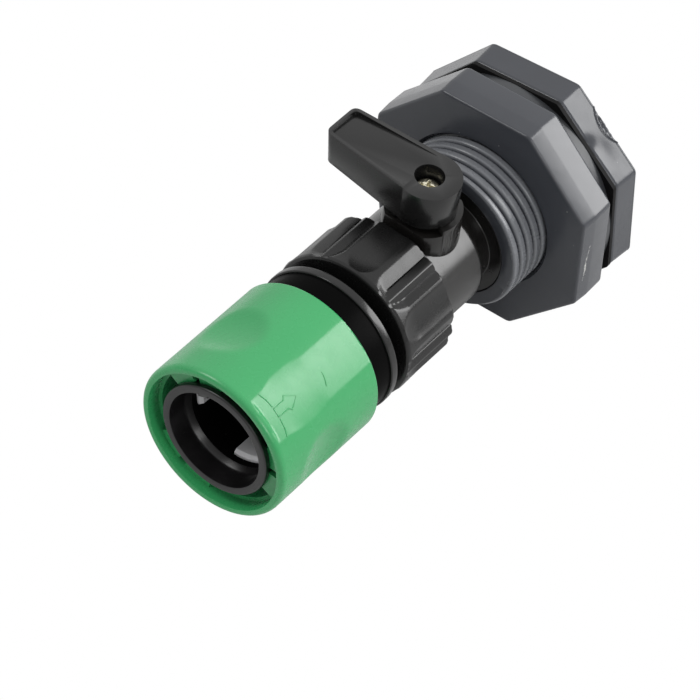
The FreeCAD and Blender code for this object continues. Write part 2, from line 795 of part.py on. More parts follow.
combine("Part::Cut", "lever", whole_lever, dish)

# A cross-head screw holds the lever on the stem.
screw = new_body("lever_screw")
screw_top = screw_seat + screw_head_thick
turned_up(screw, "screw_blank", [
    (0, screw_end),
    (screw_shank - edge_break, screw_end),
    (screw_shank, screw_end + overshoot),
    (screw_shank, screw_seat),
    (screw_head, screw_seat),
    (screw_head, screw_top - edge_break),
    (screw_head - edge_break, screw_top),
    (0, screw_top),
], ball_y)
for name, across, along in (("cross_a", cross_long, cross_wide),
                            ("cross_b", cross_wide, cross_long)):
    cross_shape = new_sketch(screw, name + "_shape", "XY_Plane", screw_top)
    draw_outline(cross_shape, rectangle(across, along))
    raise_feature(screw, "PartDesign::Pocket", name, cross_shape, cross_deep)

# The union nut draws the coupling's tail flange against the valve's spigot. Its grip has smooth
# thumb flutes and ribbed stretches in turn, each with a rounded front end.
union_bore = socket_radius + thread_gap
union_lip_bore = tail_radius + union_lip / 3
union_turned = turned_body("union_turned", [
    (union_lip_bore, union_front),
    (union_radius - union_chamfer, union_front),
    (union_radius, union_front + union_chamfer),
    (union_radius, union_back - edge_break),
    (union_radius - edge_break, union_back),
    (union_bore, union_back),
    (union_bore, union_front + union_lip),
    (union_lip_bore, union_front + union_lip),
])


def round_ended_cutter(cutter, depth, start, end):
    """A round bar along the pipe with a ball end, sunk to a depth in the nut's side."""
    foot = FreeCAD.Vector(0, start.value, (union_radius - depth + cutter).value)
    length = (end - start).value
    bar = Part.makeCylinder(cutter.value, length, foot, FreeCAD.Vector(0, 1, 0))
    return bar.fuse(Part.makeSphere(cutter.value, foot))


RIB_SPAN = 14.5
RIB_VALLEYS = (-4.0, 8.5)
RIB_CREST = 2.5


def ridge_prism(start, end):
    """The ribbed stretch's cross-section, from the nut's surface outwards."""
    crest = union_radius.value
    floor = crest - flute_depth.value
    clear = crest + rib_depth.value
    shape = [(-RIB_SPAN, crest), (RIB_VALLEYS[0], floor), (RIB_CREST, crest)]
    shape += [(RIB_VALLEYS[1], floor), (RIB_SPAN, crest), (RIB_SPAN, clear), (-RIB_SPAN, clear)]
    corners = []
    for degrees, radius in shape:
        angle = math.radians(degrees)
        across = radius * math.sin(angle)
        corners.append(FreeCAD.Vector(across, start.value, radius * math.cos(angle)))
    face = Part.Face(Part.makePolygon(corners + [corners[0]]))
    return face.extrude(FreeCAD.Vector(0, end.value - start.value, 0))


flute_start = union_front + union_lip + flute_inset
flute_end = union_back + overshoot
scoop_cutter = round_ended_cutter(flute_cutter, flute_depth, flute_start, flute_end)
ridge_cutter = round_ended_cutter(rib_cutter, rib_depth, flute_start, flute_end)
ridge_cutter = ridge_cutter.common(ridge_prism(union_front, flute_end))
flute_tools = []
RIDGE_ANGLE = 30.5
for index in range(flute_count):
    for cutter, angle in ((scoop_cutter, 0.0), (ridge_cutter, RIDGE_ANGLE)):
        copy = cutter.copy()
        turn = angle + index * 360.0 / flute_count
        copy.rotate(FreeCAD.Vector(0, 0, 0), FreeCAD.Vector(0, 1, 0), turn)
        flute_tools.append(copy)
combine("Part::Cut", "union_nut", union_turned, tool_set("flute_tools", flute_tools))

# A flat rubber washer seals the tail against the spigot.
turned_body("union_washer", [
    (seat_bore + union_lip, tail_end),
    (tail_flange - slide_gap, tail_end),
    (tail_flange - slide_gap, spigot_end),
    (seat_bore + union_lip, spigot_end),
])

# The coupling's body: tail flange, bright collar, drum with the spring's pocket, and the inner
# barrel with three claw windows. The narrow bore takes the plug's nose.
pocket_outer = drum_radius - drum_wall
nose_end = nose_front + nose_depth
connector = turned_body("connector_turned", [
    (tail_bore, tail_end),
    (tail_flange, tail_end),
    (tail_flange, tail_flange_front),
    (tail_radius, tail_flange_front),
    (tail_radius, collar_back),
    (collar_radius, collar_back),
    (collar_radius, drum_back),
    (drum_radius, drum_back),
    (drum_radius, drum_front),
    (pocket_outer, drum_front),
    (pocket_outer, spring_back),
    (barrel_outer, spring_back),
    (barrel_outer, ring_back),
    (barrel_bore, ring_back),
    (barrel_bore, nose_front),
    (nose_bore + edge_break, nose_front),
    (nose_bore, nose_front + edge_break),
    (nose_bore, nose_end),
    (tail_bore, nose_end),
])
WINDOW_SIDE = 1.5
windows = []
for index in range(claw_count):
    angle = panel_angle + index * 360.0 / claw_count
    windows.append(ring_sector(barrel_bore - overshoot, barrel_outer + overshoot,
                               claw_from - claw_gap, claw_to + claw_gap, angle,
                               claw_half_angle + WINDOW_SIDE))
combine("Part::Cut", "connector_body", connector, tool_set("claw_windows", windows))

# The mouth ring closes the barrel's front and stops the sleeve. A key points into its bore.
flange_back = ring_front + ring_flange
ring_neck = barrel_outer + edge_break
mouth = turned_body("mouth_turned", [
    (ring_bore + edge_break / 4, ring_front),
    (ring_radius - edge_break / 2, ring_front),
    (ring_radius, ring_front + edge_break / 2),
    (ring_radius, flange_back),
    (ring_neck, flange_back),
    (ring_neck, ring_back),
    (barrel_bore, ring_back),
    (ring_bore, ring_front + ring_depth),
    (ring_bore, ring_front + edge_break / 2),
])
key = primitive("Part::Box", "mouth_key", Length=key_width, Width=ring_flange,
                Height=key_height + edge_break)
turn = math.radians(key_angle)
key.Placement.Rotation = FreeCAD.Rotation(FreeCAD.Vector(0, 1, 0), key_angle)
key_low = ring_bore - key_height
bind_place(key, key_low * math.sin(turn) - key_width * math.cos(turn) / 2, ring_front + edge_break / 4,
           key_low * math.cos(turn) + key_width * math.sin(turn) / 2)
fuse_all("mouth_ring", [mouth, key])

# The sleeve slides back over the drum. Its cone lets the claws move out as it goes.
slope = claw_travel.value / sleeve_travel.value
cone_front = claw_from - sleeve_travel
land_radius = barrel_outer + slide_gap
land_front = claw_to + edge_break
web_face = spring_back - spring_length


def cone_radius(station):
    """The sleeve's inner cone, a clearance outside the claws' cone."""
    return claw_outer + slide_gap + (claw_from - station) * slope


sleeve_inside = drum_radius + slide_gap
sleeve_turned = turned_body("sleeve_turned", [
    (sleeve_mouth, sleeve_front + ring_inset),
    (sleeve_mouth + lip_flare, sleeve_front),
    (sleeve_mouth + lip_flare * 2, sleeve_front),
    (sleeve_radius - lip_flare / 2, sleeve_front + lip_flare),
    (sleeve_radius, sleeve_front + lip_length),
    (sleeve_radius, sleeve_back - edge_break / 2),
    (sleeve_radius - edge_break / 2, sleeve_back),
    (sleeve_inside, sleeve_back),
    (sleeve_inside, web_face),
    (land_radius, web_face),
    (land_radius, land_front),
    (cone_radius(land_front), land_front),
    (cone_radius(cone_front), cone_front),
    (sleeve_mouth, cone_front),
])
lug_front = flange_back + slide_gap
sleeve_lugs = []
flat_strips = []
flat_cuts = []
scoops = []
strip_start = sleeve_front + lip_length + lip_flare / 2
strip_end = sleeve_back - edge_break / 2


def block(across, low, high, start, end, angle):
    """A flat-topped block along the pipe, over one angle of the sleeve."""
    width = across.value * 2
    shape = Part.makeBox(width, end.value - start.value, high - low)
    shape.translate(FreeCAD.Vector(-across.value, start.value, low))
    shape.rotate(FreeCAD.Vector(0, 0, 0), FreeCAD.Vector(0, 1, 0), angle)
    return shape


def thumb_scoop(angle):
    """A shallow saddle across the sleeve, made by a crosswise round bar."""
    half = sleeve_radius.value
    height = scoop_floor.value + scoop_radius.value
    middle = ((sleeve_front + sleeve_back) / 2 - scoop_shift).value
    foot = FreeCAD.Vector(-half, middle, height)
    bar = Part.makeCylinder(scoop_radius.value, 2 * half, foot, FreeCAD.Vector(1, 0, 0))
    bar.rotate(FreeCAD.Vector(0, 0, 0), FreeCAD.Vector(0, 1, 0), angle)
    return bar


panel_foot = (sleeve_inside + slide_gap).value
panel_clear = (sleeve_radius + overshoot).value
lug_back = lug_front + lug_thick + overshoot
LUG_SIDE = 15.25
LUG_HALF = 11.75
for index in range(claw_count):
    step = index * 360.0 / claw_count
    for side in (-LUG_SIDE, LUG_SIDE):
        sleeve_lugs.append(ring_sector(lug_inner, sleeve_mouth + edge_break, lug_front, lug_back,
                                       lug_angle + side + step, LUG_HALF))
    flat_strips.append(block(panel_half, panel_foot, panel_flat.value, strip_start, strip_end,
                             panel_angle + step))
    flat_cuts.append(block(panel_half, panel_flat.value, panel_clear, strip_start, strip_end,
                           panel_angle + step))
    scoops.append(thumb_scoop(scoop_angle + step))
sleeve_blank = fuse_all("sleeve_blank", [sleeve_turned, tool_set("sleeve_lugs", sleeve_lugs),
                                         tool_set("panel_strips", flat_strips)])
sleeve_flat = combine("Part::Cut", "sleeve_flat", sleeve_blank, tool_set("panel_cuts", flat_cuts))
combine("Part::Cut", "release_sleeve", sleeve_flat, tool_set("thumb_scoops", scoops))

# Three claws sit in the barrel's windows and grip the plug's groove.
claw_lead = claw_travel / 2
for index in range(claw_count):
    claw = doc.addObject("Part::Feature", "claw_%d" % (index + 1))
    rear_outer = claw_outer - claw_length * slope
    claw.Shape = sector([
        (claw_inner + claw_lead, claw_from),
        (claw_outer, claw_from),
        (rear_outer, claw_to),
        (claw_inner, claw_to),
        (claw_inner, claw_from + claw_lead),
    ], panel_angle + index * 360.0 / claw_count, claw_half_angle)

# The coil spring pushes the sleeve back to its locked place.
coils = 4
coil_height = spring_length.value - spring_wire.value * 2 - 0.1
helix = Part.makeHelix(coil_height / coils, coil_height, spring_radius.value)
section = Part.Wire([Part.makeCircle(spring_wire.value, FreeCAD.Vector(spring_radius.value, 0, 0),
                                     FreeCAD.Vector(0, 1, 0))])
coil = Part.Wire(helix.Edges).makePipeShell([section], True, True)
coil.rotate(FreeCAD.Vector(0, 0, 0), FreeCAD.Vector(1, 0, 0), -90)
coil.translate(FreeCAD.Vector(0, web_face.value + spring_wire.value + 0.05, 0))
spring = doc.addObject("Part::Feature", "sleeve_spring")
spring.Shape = coil

NODES = [
    "bulkhead_body", "head_gasket", "slip_washer", "bulkhead_nut", "inlet_seal", "valve_body",
    "seat_rear", "seat_front", "seat_retainer", "ball", "stem", "stem_ring_lower",
    "stem_ring_upper", "lever", "lever_screw", "union_nut", "union_washer", "connector_body",
    "mouth_ring", "release_sleeve", "claw_1", "claw_2", "claw_3", "sleeve_spring",
]

doc.recompute()
for item in doc.Objects:
    if "Invalid" in item.State or "Error" in item.State:
        raise RuntimeError("%s failed: %s" % (item.Name, item.State))

os.makedirs("parts", exist_ok=True)
for name in NODES:
    shape = doc.getObject(name).Shape
    if shape.isNull() or not shape.isValid():
        raise RuntimeError("%s has no valid shape" % name)
    box = shape.BoundBox
    print("%-16s %d solid(s) %9.1f mm3  y %.2f to %.2f  z %.2f to %.2f" % (
        name, len(shape.Solids), shape.Volume, box.YMin, box.YMax, box.ZMin, box.ZMax))
    shape.exportStep("parts/%s.step" % name)
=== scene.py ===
import json
import math
import bmesh
import bpy
from mathutils import Matrix, Vector


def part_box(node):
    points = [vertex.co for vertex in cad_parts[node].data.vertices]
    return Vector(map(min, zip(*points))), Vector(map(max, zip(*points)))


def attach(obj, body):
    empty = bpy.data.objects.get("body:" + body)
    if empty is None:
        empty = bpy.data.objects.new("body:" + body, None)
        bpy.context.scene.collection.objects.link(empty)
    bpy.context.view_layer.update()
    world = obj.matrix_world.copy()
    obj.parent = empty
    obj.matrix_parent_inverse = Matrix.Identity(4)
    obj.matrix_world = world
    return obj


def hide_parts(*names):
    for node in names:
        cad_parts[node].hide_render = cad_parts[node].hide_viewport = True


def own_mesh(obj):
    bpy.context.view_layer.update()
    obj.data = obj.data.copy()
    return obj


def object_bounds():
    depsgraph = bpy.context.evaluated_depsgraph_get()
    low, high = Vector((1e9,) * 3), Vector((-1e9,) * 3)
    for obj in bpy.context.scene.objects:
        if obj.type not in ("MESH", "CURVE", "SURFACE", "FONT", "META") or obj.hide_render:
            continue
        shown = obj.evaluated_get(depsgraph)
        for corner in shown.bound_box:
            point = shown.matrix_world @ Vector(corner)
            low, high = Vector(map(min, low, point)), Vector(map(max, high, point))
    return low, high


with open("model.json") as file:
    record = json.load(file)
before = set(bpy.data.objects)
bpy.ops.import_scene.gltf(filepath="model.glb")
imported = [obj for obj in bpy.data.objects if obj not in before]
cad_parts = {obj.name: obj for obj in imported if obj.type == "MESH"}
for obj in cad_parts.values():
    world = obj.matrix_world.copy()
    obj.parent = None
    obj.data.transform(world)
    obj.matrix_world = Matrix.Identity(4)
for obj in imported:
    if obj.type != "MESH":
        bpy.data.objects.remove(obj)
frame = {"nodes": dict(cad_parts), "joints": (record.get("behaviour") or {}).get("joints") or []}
cad_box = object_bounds()

# The studio is a white room with a white sheet under the fitting, and the camera sees both as plain
# white. For the plastic the room is brightest above and behind. A big softbox behind on the right
# draws the bright bands, and two weaker ones fill the shade and pick out the right-hand edges. The
# camera stands where the photograph's stood, found from the round and octagonal edges in it.
MM = 0.001
ROOM_DIM = 0.3
ROOM_BEHIND = 0.5
ROOM_ABOVE = 0.45
BEHIND_FADE = (-0.7, 0.8)
ABOVE_FADE = (-0.3, 0.9)
SHEET_HALF = 4.0
SHEET_GAP = 0.1
SHEET_SHADE = 0.62
KEY_WATTS = 6.3
FILL_WATTS = 2.6
EDGE_WATTS = 1.9
CAMERA_PLACE = Vector((0.24956, -0.48007, 0.54345))
CAMERA_RIGHT = Vector((0.78446, 0.60883, 0.11809))
CAMERA_DOWN = Vector((0.52156, -0.54462, -0.65679))
CAMERA_LENS = 197.8
CAMERA_SENSOR = 36.0
CAMERA_NEAR = 0.01


class Wire:
    """A shader value. Arithmetic on it adds Math nodes to its finish."""

    def __init__(self, finish, socket):
        self.finish = finish
        self.socket = socket

    def maths(self, operation, first, second=0.0):
        return self.finish.node("Math", {"operation": operation}, {0: first, 1: second})

    def __add__(self, other):
        return self.maths("ADD", self, other)

    def __radd__(self, other):
        return self.maths("ADD", other, self)

    def __sub__(self, other):
        return self.maths("SUBTRACT", self, other)

    def __rsub__(self, other):
        return self.maths("SUBTRACT", other, self)

    def __mul__(self, other):
        return self.maths("MULTIPLY", self, other)

    def __truediv__(self, other):
        return self.maths("DIVIDE", self, other)

    def __gt__(self, other):
        return self.maths("GREATER_THAN", self, other)

    def __lt__(self, other):
        return self.maths("LESS_THAN", self, other)

    def ramp(self, low, high):
        """From 0 at one value to 1 at another, held between them."""
        return self.finish.node("MapRange", {"interpolation_type": "SMOOTHSTEP"},
                                {"Value": self, "From Min": low, "From Max": high})


class Finish:
    """A node tree that is being wired: a material's or the room's."""

    def __init__(self, tree):
        self.tree = tree

    def node(self, kind, settings, sockets, output=0):
        """Add one node: its settings first, then the values or wires of its sockets."""
        made = self.tree.nodes.new("ShaderNode" + kind)
        for name, value in settings.items():
            setattr(made, name, value)
        for name, value in sockets.items():
            if isinstance(value, Wire):
                self.tree.links.new(value.socket, made.inputs[name])
            else:
                made.inputs[name].default_value = value
        return Wire(self, made.outputs[output])


def seen_directly(finish):
    """1 for what the camera sees itself; 0 in a reflection and for all other light."""
    return finish.node("LightPath", {}, {}, "Is Camera Ray")


room = bpy.data.worlds.new("white_room")
room.use_nodes = True
room_finish = Finish(room.node_tree)
way = room_finish.node("TexCoord", {}, {}, "Generated")
behind = room_finish.node("SeparateXYZ", {}, {"Vector": way}, "Y").ramp(*BEHIND_FADE)
above = room_finish.node("SeparateXYZ", {}, {"Vector": way}, "Z").ramp(*ABOVE_FADE)
room_shade = behind * ROOM_BEHIND + above * ROOM_ABOVE + ROOM_DIM
direct = seen_directly(room_finish)
room_glow = direct + (1.0 - direct) * room_shade
room_light = room.node_tree.nodes["Background"]
room_light.inputs["Color"].default_value = (1, 1, 1, 1)
room.node_tree.links.new(room_glow.socket, room_light.inputs["Strength"])
bpy.context.scene.world = room

sheet_height = cad_box[0].z - SHEET_GAP * MM
bpy.ops.mesh.primitive_plane_add(size=2 * SHEET_HALF, location=(0, 0, sheet_height))
sheet = bpy.context.object
sheet.name = "paper_sheet"
sheet_paint = bpy.data.materials.new("white_paper")
sheet_paint.use_nodes = True
sheet_finish = Finish(sheet_paint.node_tree)
matt = sheet_finish.node("BsdfDiffuse", {}, {"Color": (SHEET_SHADE, SHEET_SHADE, SHEET_SHADE, 1)})
glow = sheet_finish.node("Emission", {}, {"Color": (1, 1, 1, 1), "Strength": 1.0})
mixed = sheet_finish.node("MixShader", {}, {0: seen_directly(sheet_finish), 1: matt, 2: glow})
sheet_output = sheet_paint.node_tree.nodes["Material Output"]
sheet_paint.node_tree.links.new(mixed.socket, sheet_output.inputs["Surface"])
sheet.data.materials.append(sheet_paint)


def softbox(name, direction, distance, width, height, watts):
    """A rectangular lamp that faces the middle of the fitting."""
    lamp = bpy.data.lights.new(name, "AREA")
    lamp.shape = "RECTANGLE"
    lamp.size = width
    lamp.size_y = height
    lamp.energy = watts
    holder = bpy.data.objects.new(name, lamp)
    middle = (cad_box[0] + cad_box[1]) / 2
    holder.location = middle + Vector(direction).normalized() * distance
    holder.rotation_euler = (middle - holder.location).to_track_quat("-Z", "Y").to_euler()
    bpy.context.scene.collection.objects.link(holder)


softbox("key_softbox", direction=(0.55, 0.7, 0.46), distance=0.9, width=0.42, height=0.6,
        watts=KEY_WATTS)
softbox("fill_softbox", direction=(-0.6, -0.38, 0.75), distance=1.0, width=0.34, height=0.34,
        watts=FILL_WATTS)
softbox("edge_softbox", direction=(0.75, -0.3, 0.55), distance=1.0, width=0.3, height=0.3,
        watts=EDGE_WATTS)

lens = bpy.data.cameras.new("photo_camera")
lens.sensor_width = CAMERA_SENSOR
lens.lens = CAMERA_LENS
lens.clip_start = CAMERA_NEAR
camera = bpy.data.objects.new("photo_camera", lens)
ahead = CAMERA_RIGHT.cross(CAMERA_DOWN)
camera.matrix_world = Matrix(((CAMERA_RIGHT.x, -CAMERA_DOWN.x, -ahead.x, CAMERA_PLACE.x),
                              (CAMERA_RIGHT.y, -CAMERA_DOWN.y, -ahead.y, CAMERA_PLACE.y),
                              (CAMERA_RIGHT.z, -CAMERA_DOWN.z, -ahead.z, CAMERA_PLACE.z),
                              (0, 0, 0, 1)))
bpy.context.scene.collection.objects.link(camera)
bpy.context.scene.camera = camera
bpy.context.scene.view_settings.view_transform = "Standard"

# The bulkhead's body is one grey PVC moulding: an eight-sided head, and a hollow shank with a
# 1 inch thread outside and 3/4 inch threads at both ends inside. Its edges are left by the mould.
HEAD_CORNER = 26.8
HEAD_TURN = 14.7
HEAD_DRAFT = 0.45
HEAD_EDGE = 0.7
HEAD_STEP = 0.12
HALF_SIDE = 22.5
CORNER_ROUND = 1.8
GATE_TURN = HEAD_TURN + HALF_SIDE
GATE_REACH = 14.0
GATE_STEP = 0.4
GATE_STEPS = 34
SCALLOP_DEPTH = 0.24
SCALLOP_LENGTH = 1.7
SCALLOP_HALF = 4.4
SCALLOP_MIDDLE = -0.75
SCALLOP_EASE = 0.3
RIPPLE = 0.06
RIDGE = 0.22
RIDGE_OFF = 0.12
RIDGE_WIDTH = 0.16
SHANK_THREAD = 16.62
SHANK_THREAD_DEPTH = 1.0
SHANK_PITCH = 2.309
SHANK_STEPS = 14
SOCKET_THREAD = 13.22
SOCKET_THREAD_DEPTH = 1.0
SOCKET_PITCH = 1.814
SOCKET_STEPS = 12
SOCKET_DEPTH = 12.0
THREAD_FLANK = 0.62
THREAD_END = -0.2
THREAD_CHAMFER = 0.5
THREAD_ROOM = 0.1
LEAD_IN = 0.35
LEAD_IN_SLOPE = 1.8
# Heights over the thread's root and under its crest, between which the painted crest highlight
# fades in.
HIGHLIGHT_RISE = 0.35
HIGHLIGHT_CREST = 0.05
WEB_BORE = 9.5
RIM_DEPTH = 0.5
RIM_EASE = 0.12
RIM_ROUND = 0.4
CLOUD_SCALE = 90.0
PATCH_SCALE = 420.0
SPECK_SCALE = 520.0
TATTER_SCALE = 1400.0
SCUFF_FADE = (0.1, 0.26)
SCUFF_PALE = 0.85
GLOSS_SPREAD = 0.12
DUST_ROUGH = 0.3
CREASE = 32.0


def srgb(red, green, blue):
    """A colour read off a screen, from 0 to 255, as the renderer's linear colour."""
    shares = [part / 255.0 for part in (red, green, blue)]
    return tuple(part / 12.92 if part < 0.04045 else ((part + 0.055) / 1.055) ** 2.4
                 for part in shares) + (1.0,)


def scuffed(finish, place, noise, first, last):
    """A ragged pale scuff along a line between two places in millimetres."""
    way = Vector(last) - Vector(first)
    off = finish.node("VectorMath", {"operation": "SUBTRACT"},
                      {0: place, 1: [part * MM for part in first]})
    run = finish.node("VectorMath", {"operation": "DOT_PRODUCT"}, {0: off, 1: way.normalized()}, 1)
    reach = finish.node("VectorMath", {"operation": "LENGTH"}, {0: off}, 1)
    aside = (reach * reach - run * run) / (MM * MM)
    inside = (run > 0.0) * (run < way.length * MM)
    tatter = finish.node("TexNoise", {}, {"Vector": place, "Scale": TATTER_SCALE, "Detail": 3.0})
    middle = 1.0 - (aside + noise * 0.3).ramp(*SCUFF_FADE)
    return inside * middle * tatter.ramp(0.42, 0.56)


def moulded(name, colour, rough, grain=0.25, grain_height=0.003, wave=0.02, blotch=0.12, dust=0.0,
            shine=0.5, scuffs=(), painted_highlight=None):
    """Moulded plastic: fine grain, slow waves, uneven gloss, faint flow marks and pale dust.

    The last argument paints a highlight: a paler colour for the light caught on a thread's crests,
    and the two radii round the pipe that it fades in between."""
    material = bpy.data.materials.new(name)
    material.use_nodes = True
    finish = Finish(material.node_tree)
    shader = material.node_tree.nodes["Principled BSDF"]
    place = finish.node("TexCoord", {}, {}, "Object")
    cloud = finish.node("TexNoise", {}, {"Vector": place, "Scale": CLOUD_SCALE, "Detail": 3.0})
    patch = finish.node("TexNoise", {}, {"Vector": place, "Scale": PATCH_SCALE, "Detail": 4.0})
    grit_scale = 1.0 / (grain * MM)
    grit = finish.node("TexNoise", {}, {"Vector": place, "Scale": grit_scale, "Detail": 2.0})
    speck = finish.node("TexVoronoi", {}, {"Vector": place, "Scale": SPECK_SCALE})
    dusty = (1.0 - speck.ramp(0.02, 0.09)) * patch.ramp(0.52, 0.7) * dust
    for first, last in scuffs:
        dusty = dusty + scuffed(finish, place, patch, first, last) * SCUFF_PALE
    # A painted highlight: a paler colour between two radii round the pipe.
    if painted_highlight:
        across = finish.node("SeparateXYZ", {}, {"Vector": place}, "X")
        up = finish.node("SeparateXYZ", {}, {"Vector": place}, "Z")
        square = across * across + up * up
        highlight_colour, low, high = painted_highlight
        highlit_share = square.maths("SQRT", square).ramp(low * MM, high * MM)
        colour = finish.node("Mix", {"data_type": "RGBA"},
                             {"Factor": highlit_share, "A": colour, "B": highlight_colour}, "Result")
    shade = 1.0 - blotch + cloud * 2.0 * blotch
    dark = finish.node("Mix", {"data_type": "RGBA", "blend_type": "MULTIPLY"},
                       {"Factor": 1.0, "A": colour, "B": shade}, "Result")
    pale = finish.node("Mix", {"data_type": "RGBA"},
                       {"Factor": dusty, "A": dark, "B": srgb(176, 176, 172)}, "Result")
    gloss = rough - GLOSS_SPREAD / 2 + patch * GLOSS_SPREAD + dusty * DUST_ROUGH
    bump = finish.node("Bump", {}, {"Strength": 1.0, "Distance": MM,
                                    "Height": grit * grain_height + cloud * wave})
    links = material.node_tree.links
    links.new(pale.socket, shader.inputs["Base Color"])
    links.new(gloss.socket, shader.inputs["Roughness"])
    links.new(bump.socket, shader.inputs["Normal"])
    shader.inputs["Specular IOR Level"].default_value = shine
    return material


def around(radius, turn, spot):
    """A place from a radius, an angle from the top of the pipe and a station along it."""
    angle = math.radians(turn)
    return (MM * radius * math.sin(angle), MM * spot, MM * radius * math.cos(angle))


def turn_off(turn, middle, repeat=360.0):
    """How far an angle lies off a middle one, or off the nearest of several that repeat."""
    return (turn - middle + repeat / 2) % repeat - repeat / 2


def clamped(value):
    """A value held between 0 and 1."""
    return min(max(value, 0.0), 1.0)


def hump(across, along, width, length):
    """The height of a round hump of height 1, at a place off its middle."""
    return math.exp(-(across / width) ** 2 - (along / length) ** 2)


def made_piece(name, mesh, crease=CREASE):
    """Turn a bmesh into an object with smooth faces and sharp creases."""
    bmesh.ops.recalc_face_normals(mesh, faces=mesh.faces)
    data = bpy.data.meshes.new(name)
    mesh.to_mesh(data)
    mesh.free()
    data.polygons.foreach_set("use_smooth", [True] * len(data.polygons))
    data.set_sharp_from_angle(angle=math.radians(crease))
    piece = bpy.data.objects.new(name, data)
    bpy.context.scene.collection.objects.link(piece)
    return piece


def radial_solid(name, rings, turns, crease=CREASE):
    """A closed solid of rings round the pipe; a ring's radius may be a function of the angle."""
    mesh = bmesh.new()
    loops = []
    for radius, spot in rings:
        reach = radius if callable(radius) else lambda turn, fixed=radius: fixed
        loops.append([mesh.verts.new(around(reach(turn), turn, spot)) for turn in turns])
    for index, loop in enumerate(loops):
        following = loops[(index + 1) % len(loops)]
        for corner in range(len(turns)):
            beside = (corner + 1) % len(turns)
            mesh.faces.new((loop[corner], loop[beside], following[beside], following[corner]))
    return made_piece(name, mesh, crease)


def even_turns(count):
    return [360.0 * index / count for index in range(count)]


def octagon_turns(first_corner):
    """Angles round an octagon, closer together at its rounded corners."""
    steps = [-HALF_SIDE, -19.0, -15.0, -11.0, -8.0, -5.5, -3.5, -2.2, -1.6, -1.1, -0.7, -0.35, 0.0]
    steps += [-step for step in reversed(steps[1:-1])]
    return [first_corner + corner * 2 * HALF_SIDE + step for corner in range(8) for step in steps]


def octagon(corner_radius, first_corner, inset=0.0):
    """The radius of an octagon with rounded corners, as a function of the angle."""
    half = math.radians(HALF_SIDE)
    flat = corner_radius * math.cos(half) - inset
    middle = (flat - CORNER_ROUND) / math.cos(half)
    tangent = math.atan2(CORNER_ROUND * math.sin(half), middle + CORNER_ROUND * math.cos(half))

    def reach(turn):
        off = math.radians(abs(turn_off(turn, first_corner, 2 * HALF_SIDE)))
        if off > tangent:
            return flat / math.cos(half - off)
        bend = CORNER_ROUND ** 2 - (middle * math.sin(off)) ** 2
        return middle * math.cos(off) + math.sqrt(bend)
    return reach


def octagon_edge(corner_radius, first_corner, face, inward, size=0.6, draft=0.0):
    """The rings of an octagon's rounded edge at a face; inward is the way into the solid."""
    rings = []
    for degrees in (90.0, 72.0, 54.0, 36.0, 18.0, 0.0):
        angle = math.radians(degrees)
        inset = draft + size * (1.0 - math.cos(angle))
        back = size * (1.0 - math.sin(angle))
        rings.append((octagon(corner_radius, first_corner, inset), face + inward * back))
    return rings


def thread(spot, root, crest, pitch, limit=None):
    """The radius round one ring of a right-hand thread."""
    def reach(turn):
        phase = (spot / pitch - turn / 360.0) % 1.0
        climb = min(min(phase, 1.0 - phase) * 2.0 / THREAD_FLANK, 1.0)
        radius = root + (crest - root) * climb * (2.0 - climb)
        return radius if limit is None else min(radius, limit)
    return reach


def steps_between(start, end, step):
    """Stations from one to another, both included, about a step apart."""
    count = max(1, round(abs(end - start) / step))
    return [start + (end - start) * index / count for index in range(count + 1)]


def station(node, side):
    """A node's lowest (0) or highest (1) place along the pipe, in millimetres."""
    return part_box(node)[side].y / MM


def scarred(reach, spot):
    """The head's outline with what the gate left on one flat: a rippled scallop and three humps."""
    def marked(turn):
        off = turn_off(turn, GATE_TURN)
        if abs(off) > GATE_REACH:
            return reach(turn)
        across = HEAD_CORNER * math.cos(math.radians(HALF_SIDE)) * math.tan(math.radians(off))
        aside = (across - SCALLOP_MIDDLE) / SCALLOP_HALF
        edge = spot - (head_back - SCALLOP_LENGTH) - SCALLOP_LENGTH * aside ** 2
        inside = clamped(edge / SCALLOP_EASE)
        scallop = inside * (SCALLOP_DEPTH - RIPPLE * math.sin(across * 4.6 + spot * 3.0))
        ridge = RIDGE * hump(0.0, edge + RIDGE_OFF, 1.0, RIDGE_WIDTH) * (abs(aside) < 1.0)
        humps = sum(height * hump(across - middle, spot - place, width, length)
                    for height, middle, place, width, length in gate_humps)
        return reach(turn) - scallop + ridge + humps
    return marked


head_back = station("bulkhead_body", 1)
# A nub, a pinch and a sink: height, place across the flat, station, and the widths both ways.
gate_humps = ((0.3, -1.5, head_back - 0.5, 1.3, 0.35), (-0.45, 0.0, 0.0, 1.5, 1.5),
              (-0.16, 3.0, 2.5, 3.0, 2.0))
shank_front = station("bulkhead_body", 0)
web_back = head_back - SOCKET_DEPTH
shank_root = SHANK_THREAD - SHANK_THREAD_DEPTH
body_rings = []
for spot in steps_between(shank_front, THREAD_END, SHANK_PITCH / SHANK_STEPS):
    limit = shank_root + LEAD_IN + (spot - shank_front) * LEAD_IN_SLOPE
    body_rings.append((thread(spot, shank_root, SHANK_THREAD, SHANK_PITCH, limit), spot))
body_rings.append((shank_root, 0.0))
head_rings = octagon_edge(HEAD_CORNER, HEAD_TURN, 0.0, 1.0, draft=HEAD_DRAFT)
head_rings += [(octagon(HEAD_CORNER, HEAD_TURN, HEAD_DRAFT * (1.0 - spot / head_back)), spot)
               for spot in steps_between(HEAD_EDGE, head_back - HEAD_EDGE, HEAD_STEP)]
head_rings += reversed(octagon_edge(HEAD_CORNER, HEAD_TURN, head_back, -1.0))
body_rings += [(scarred(reach, spot), spot) for reach, spot in head_rings]
socket_crest = SOCKET_THREAD - SOCKET_THREAD_DEPTH
body_rings.append((SOCKET_THREAD + THREAD_CHAMFER, head_back))
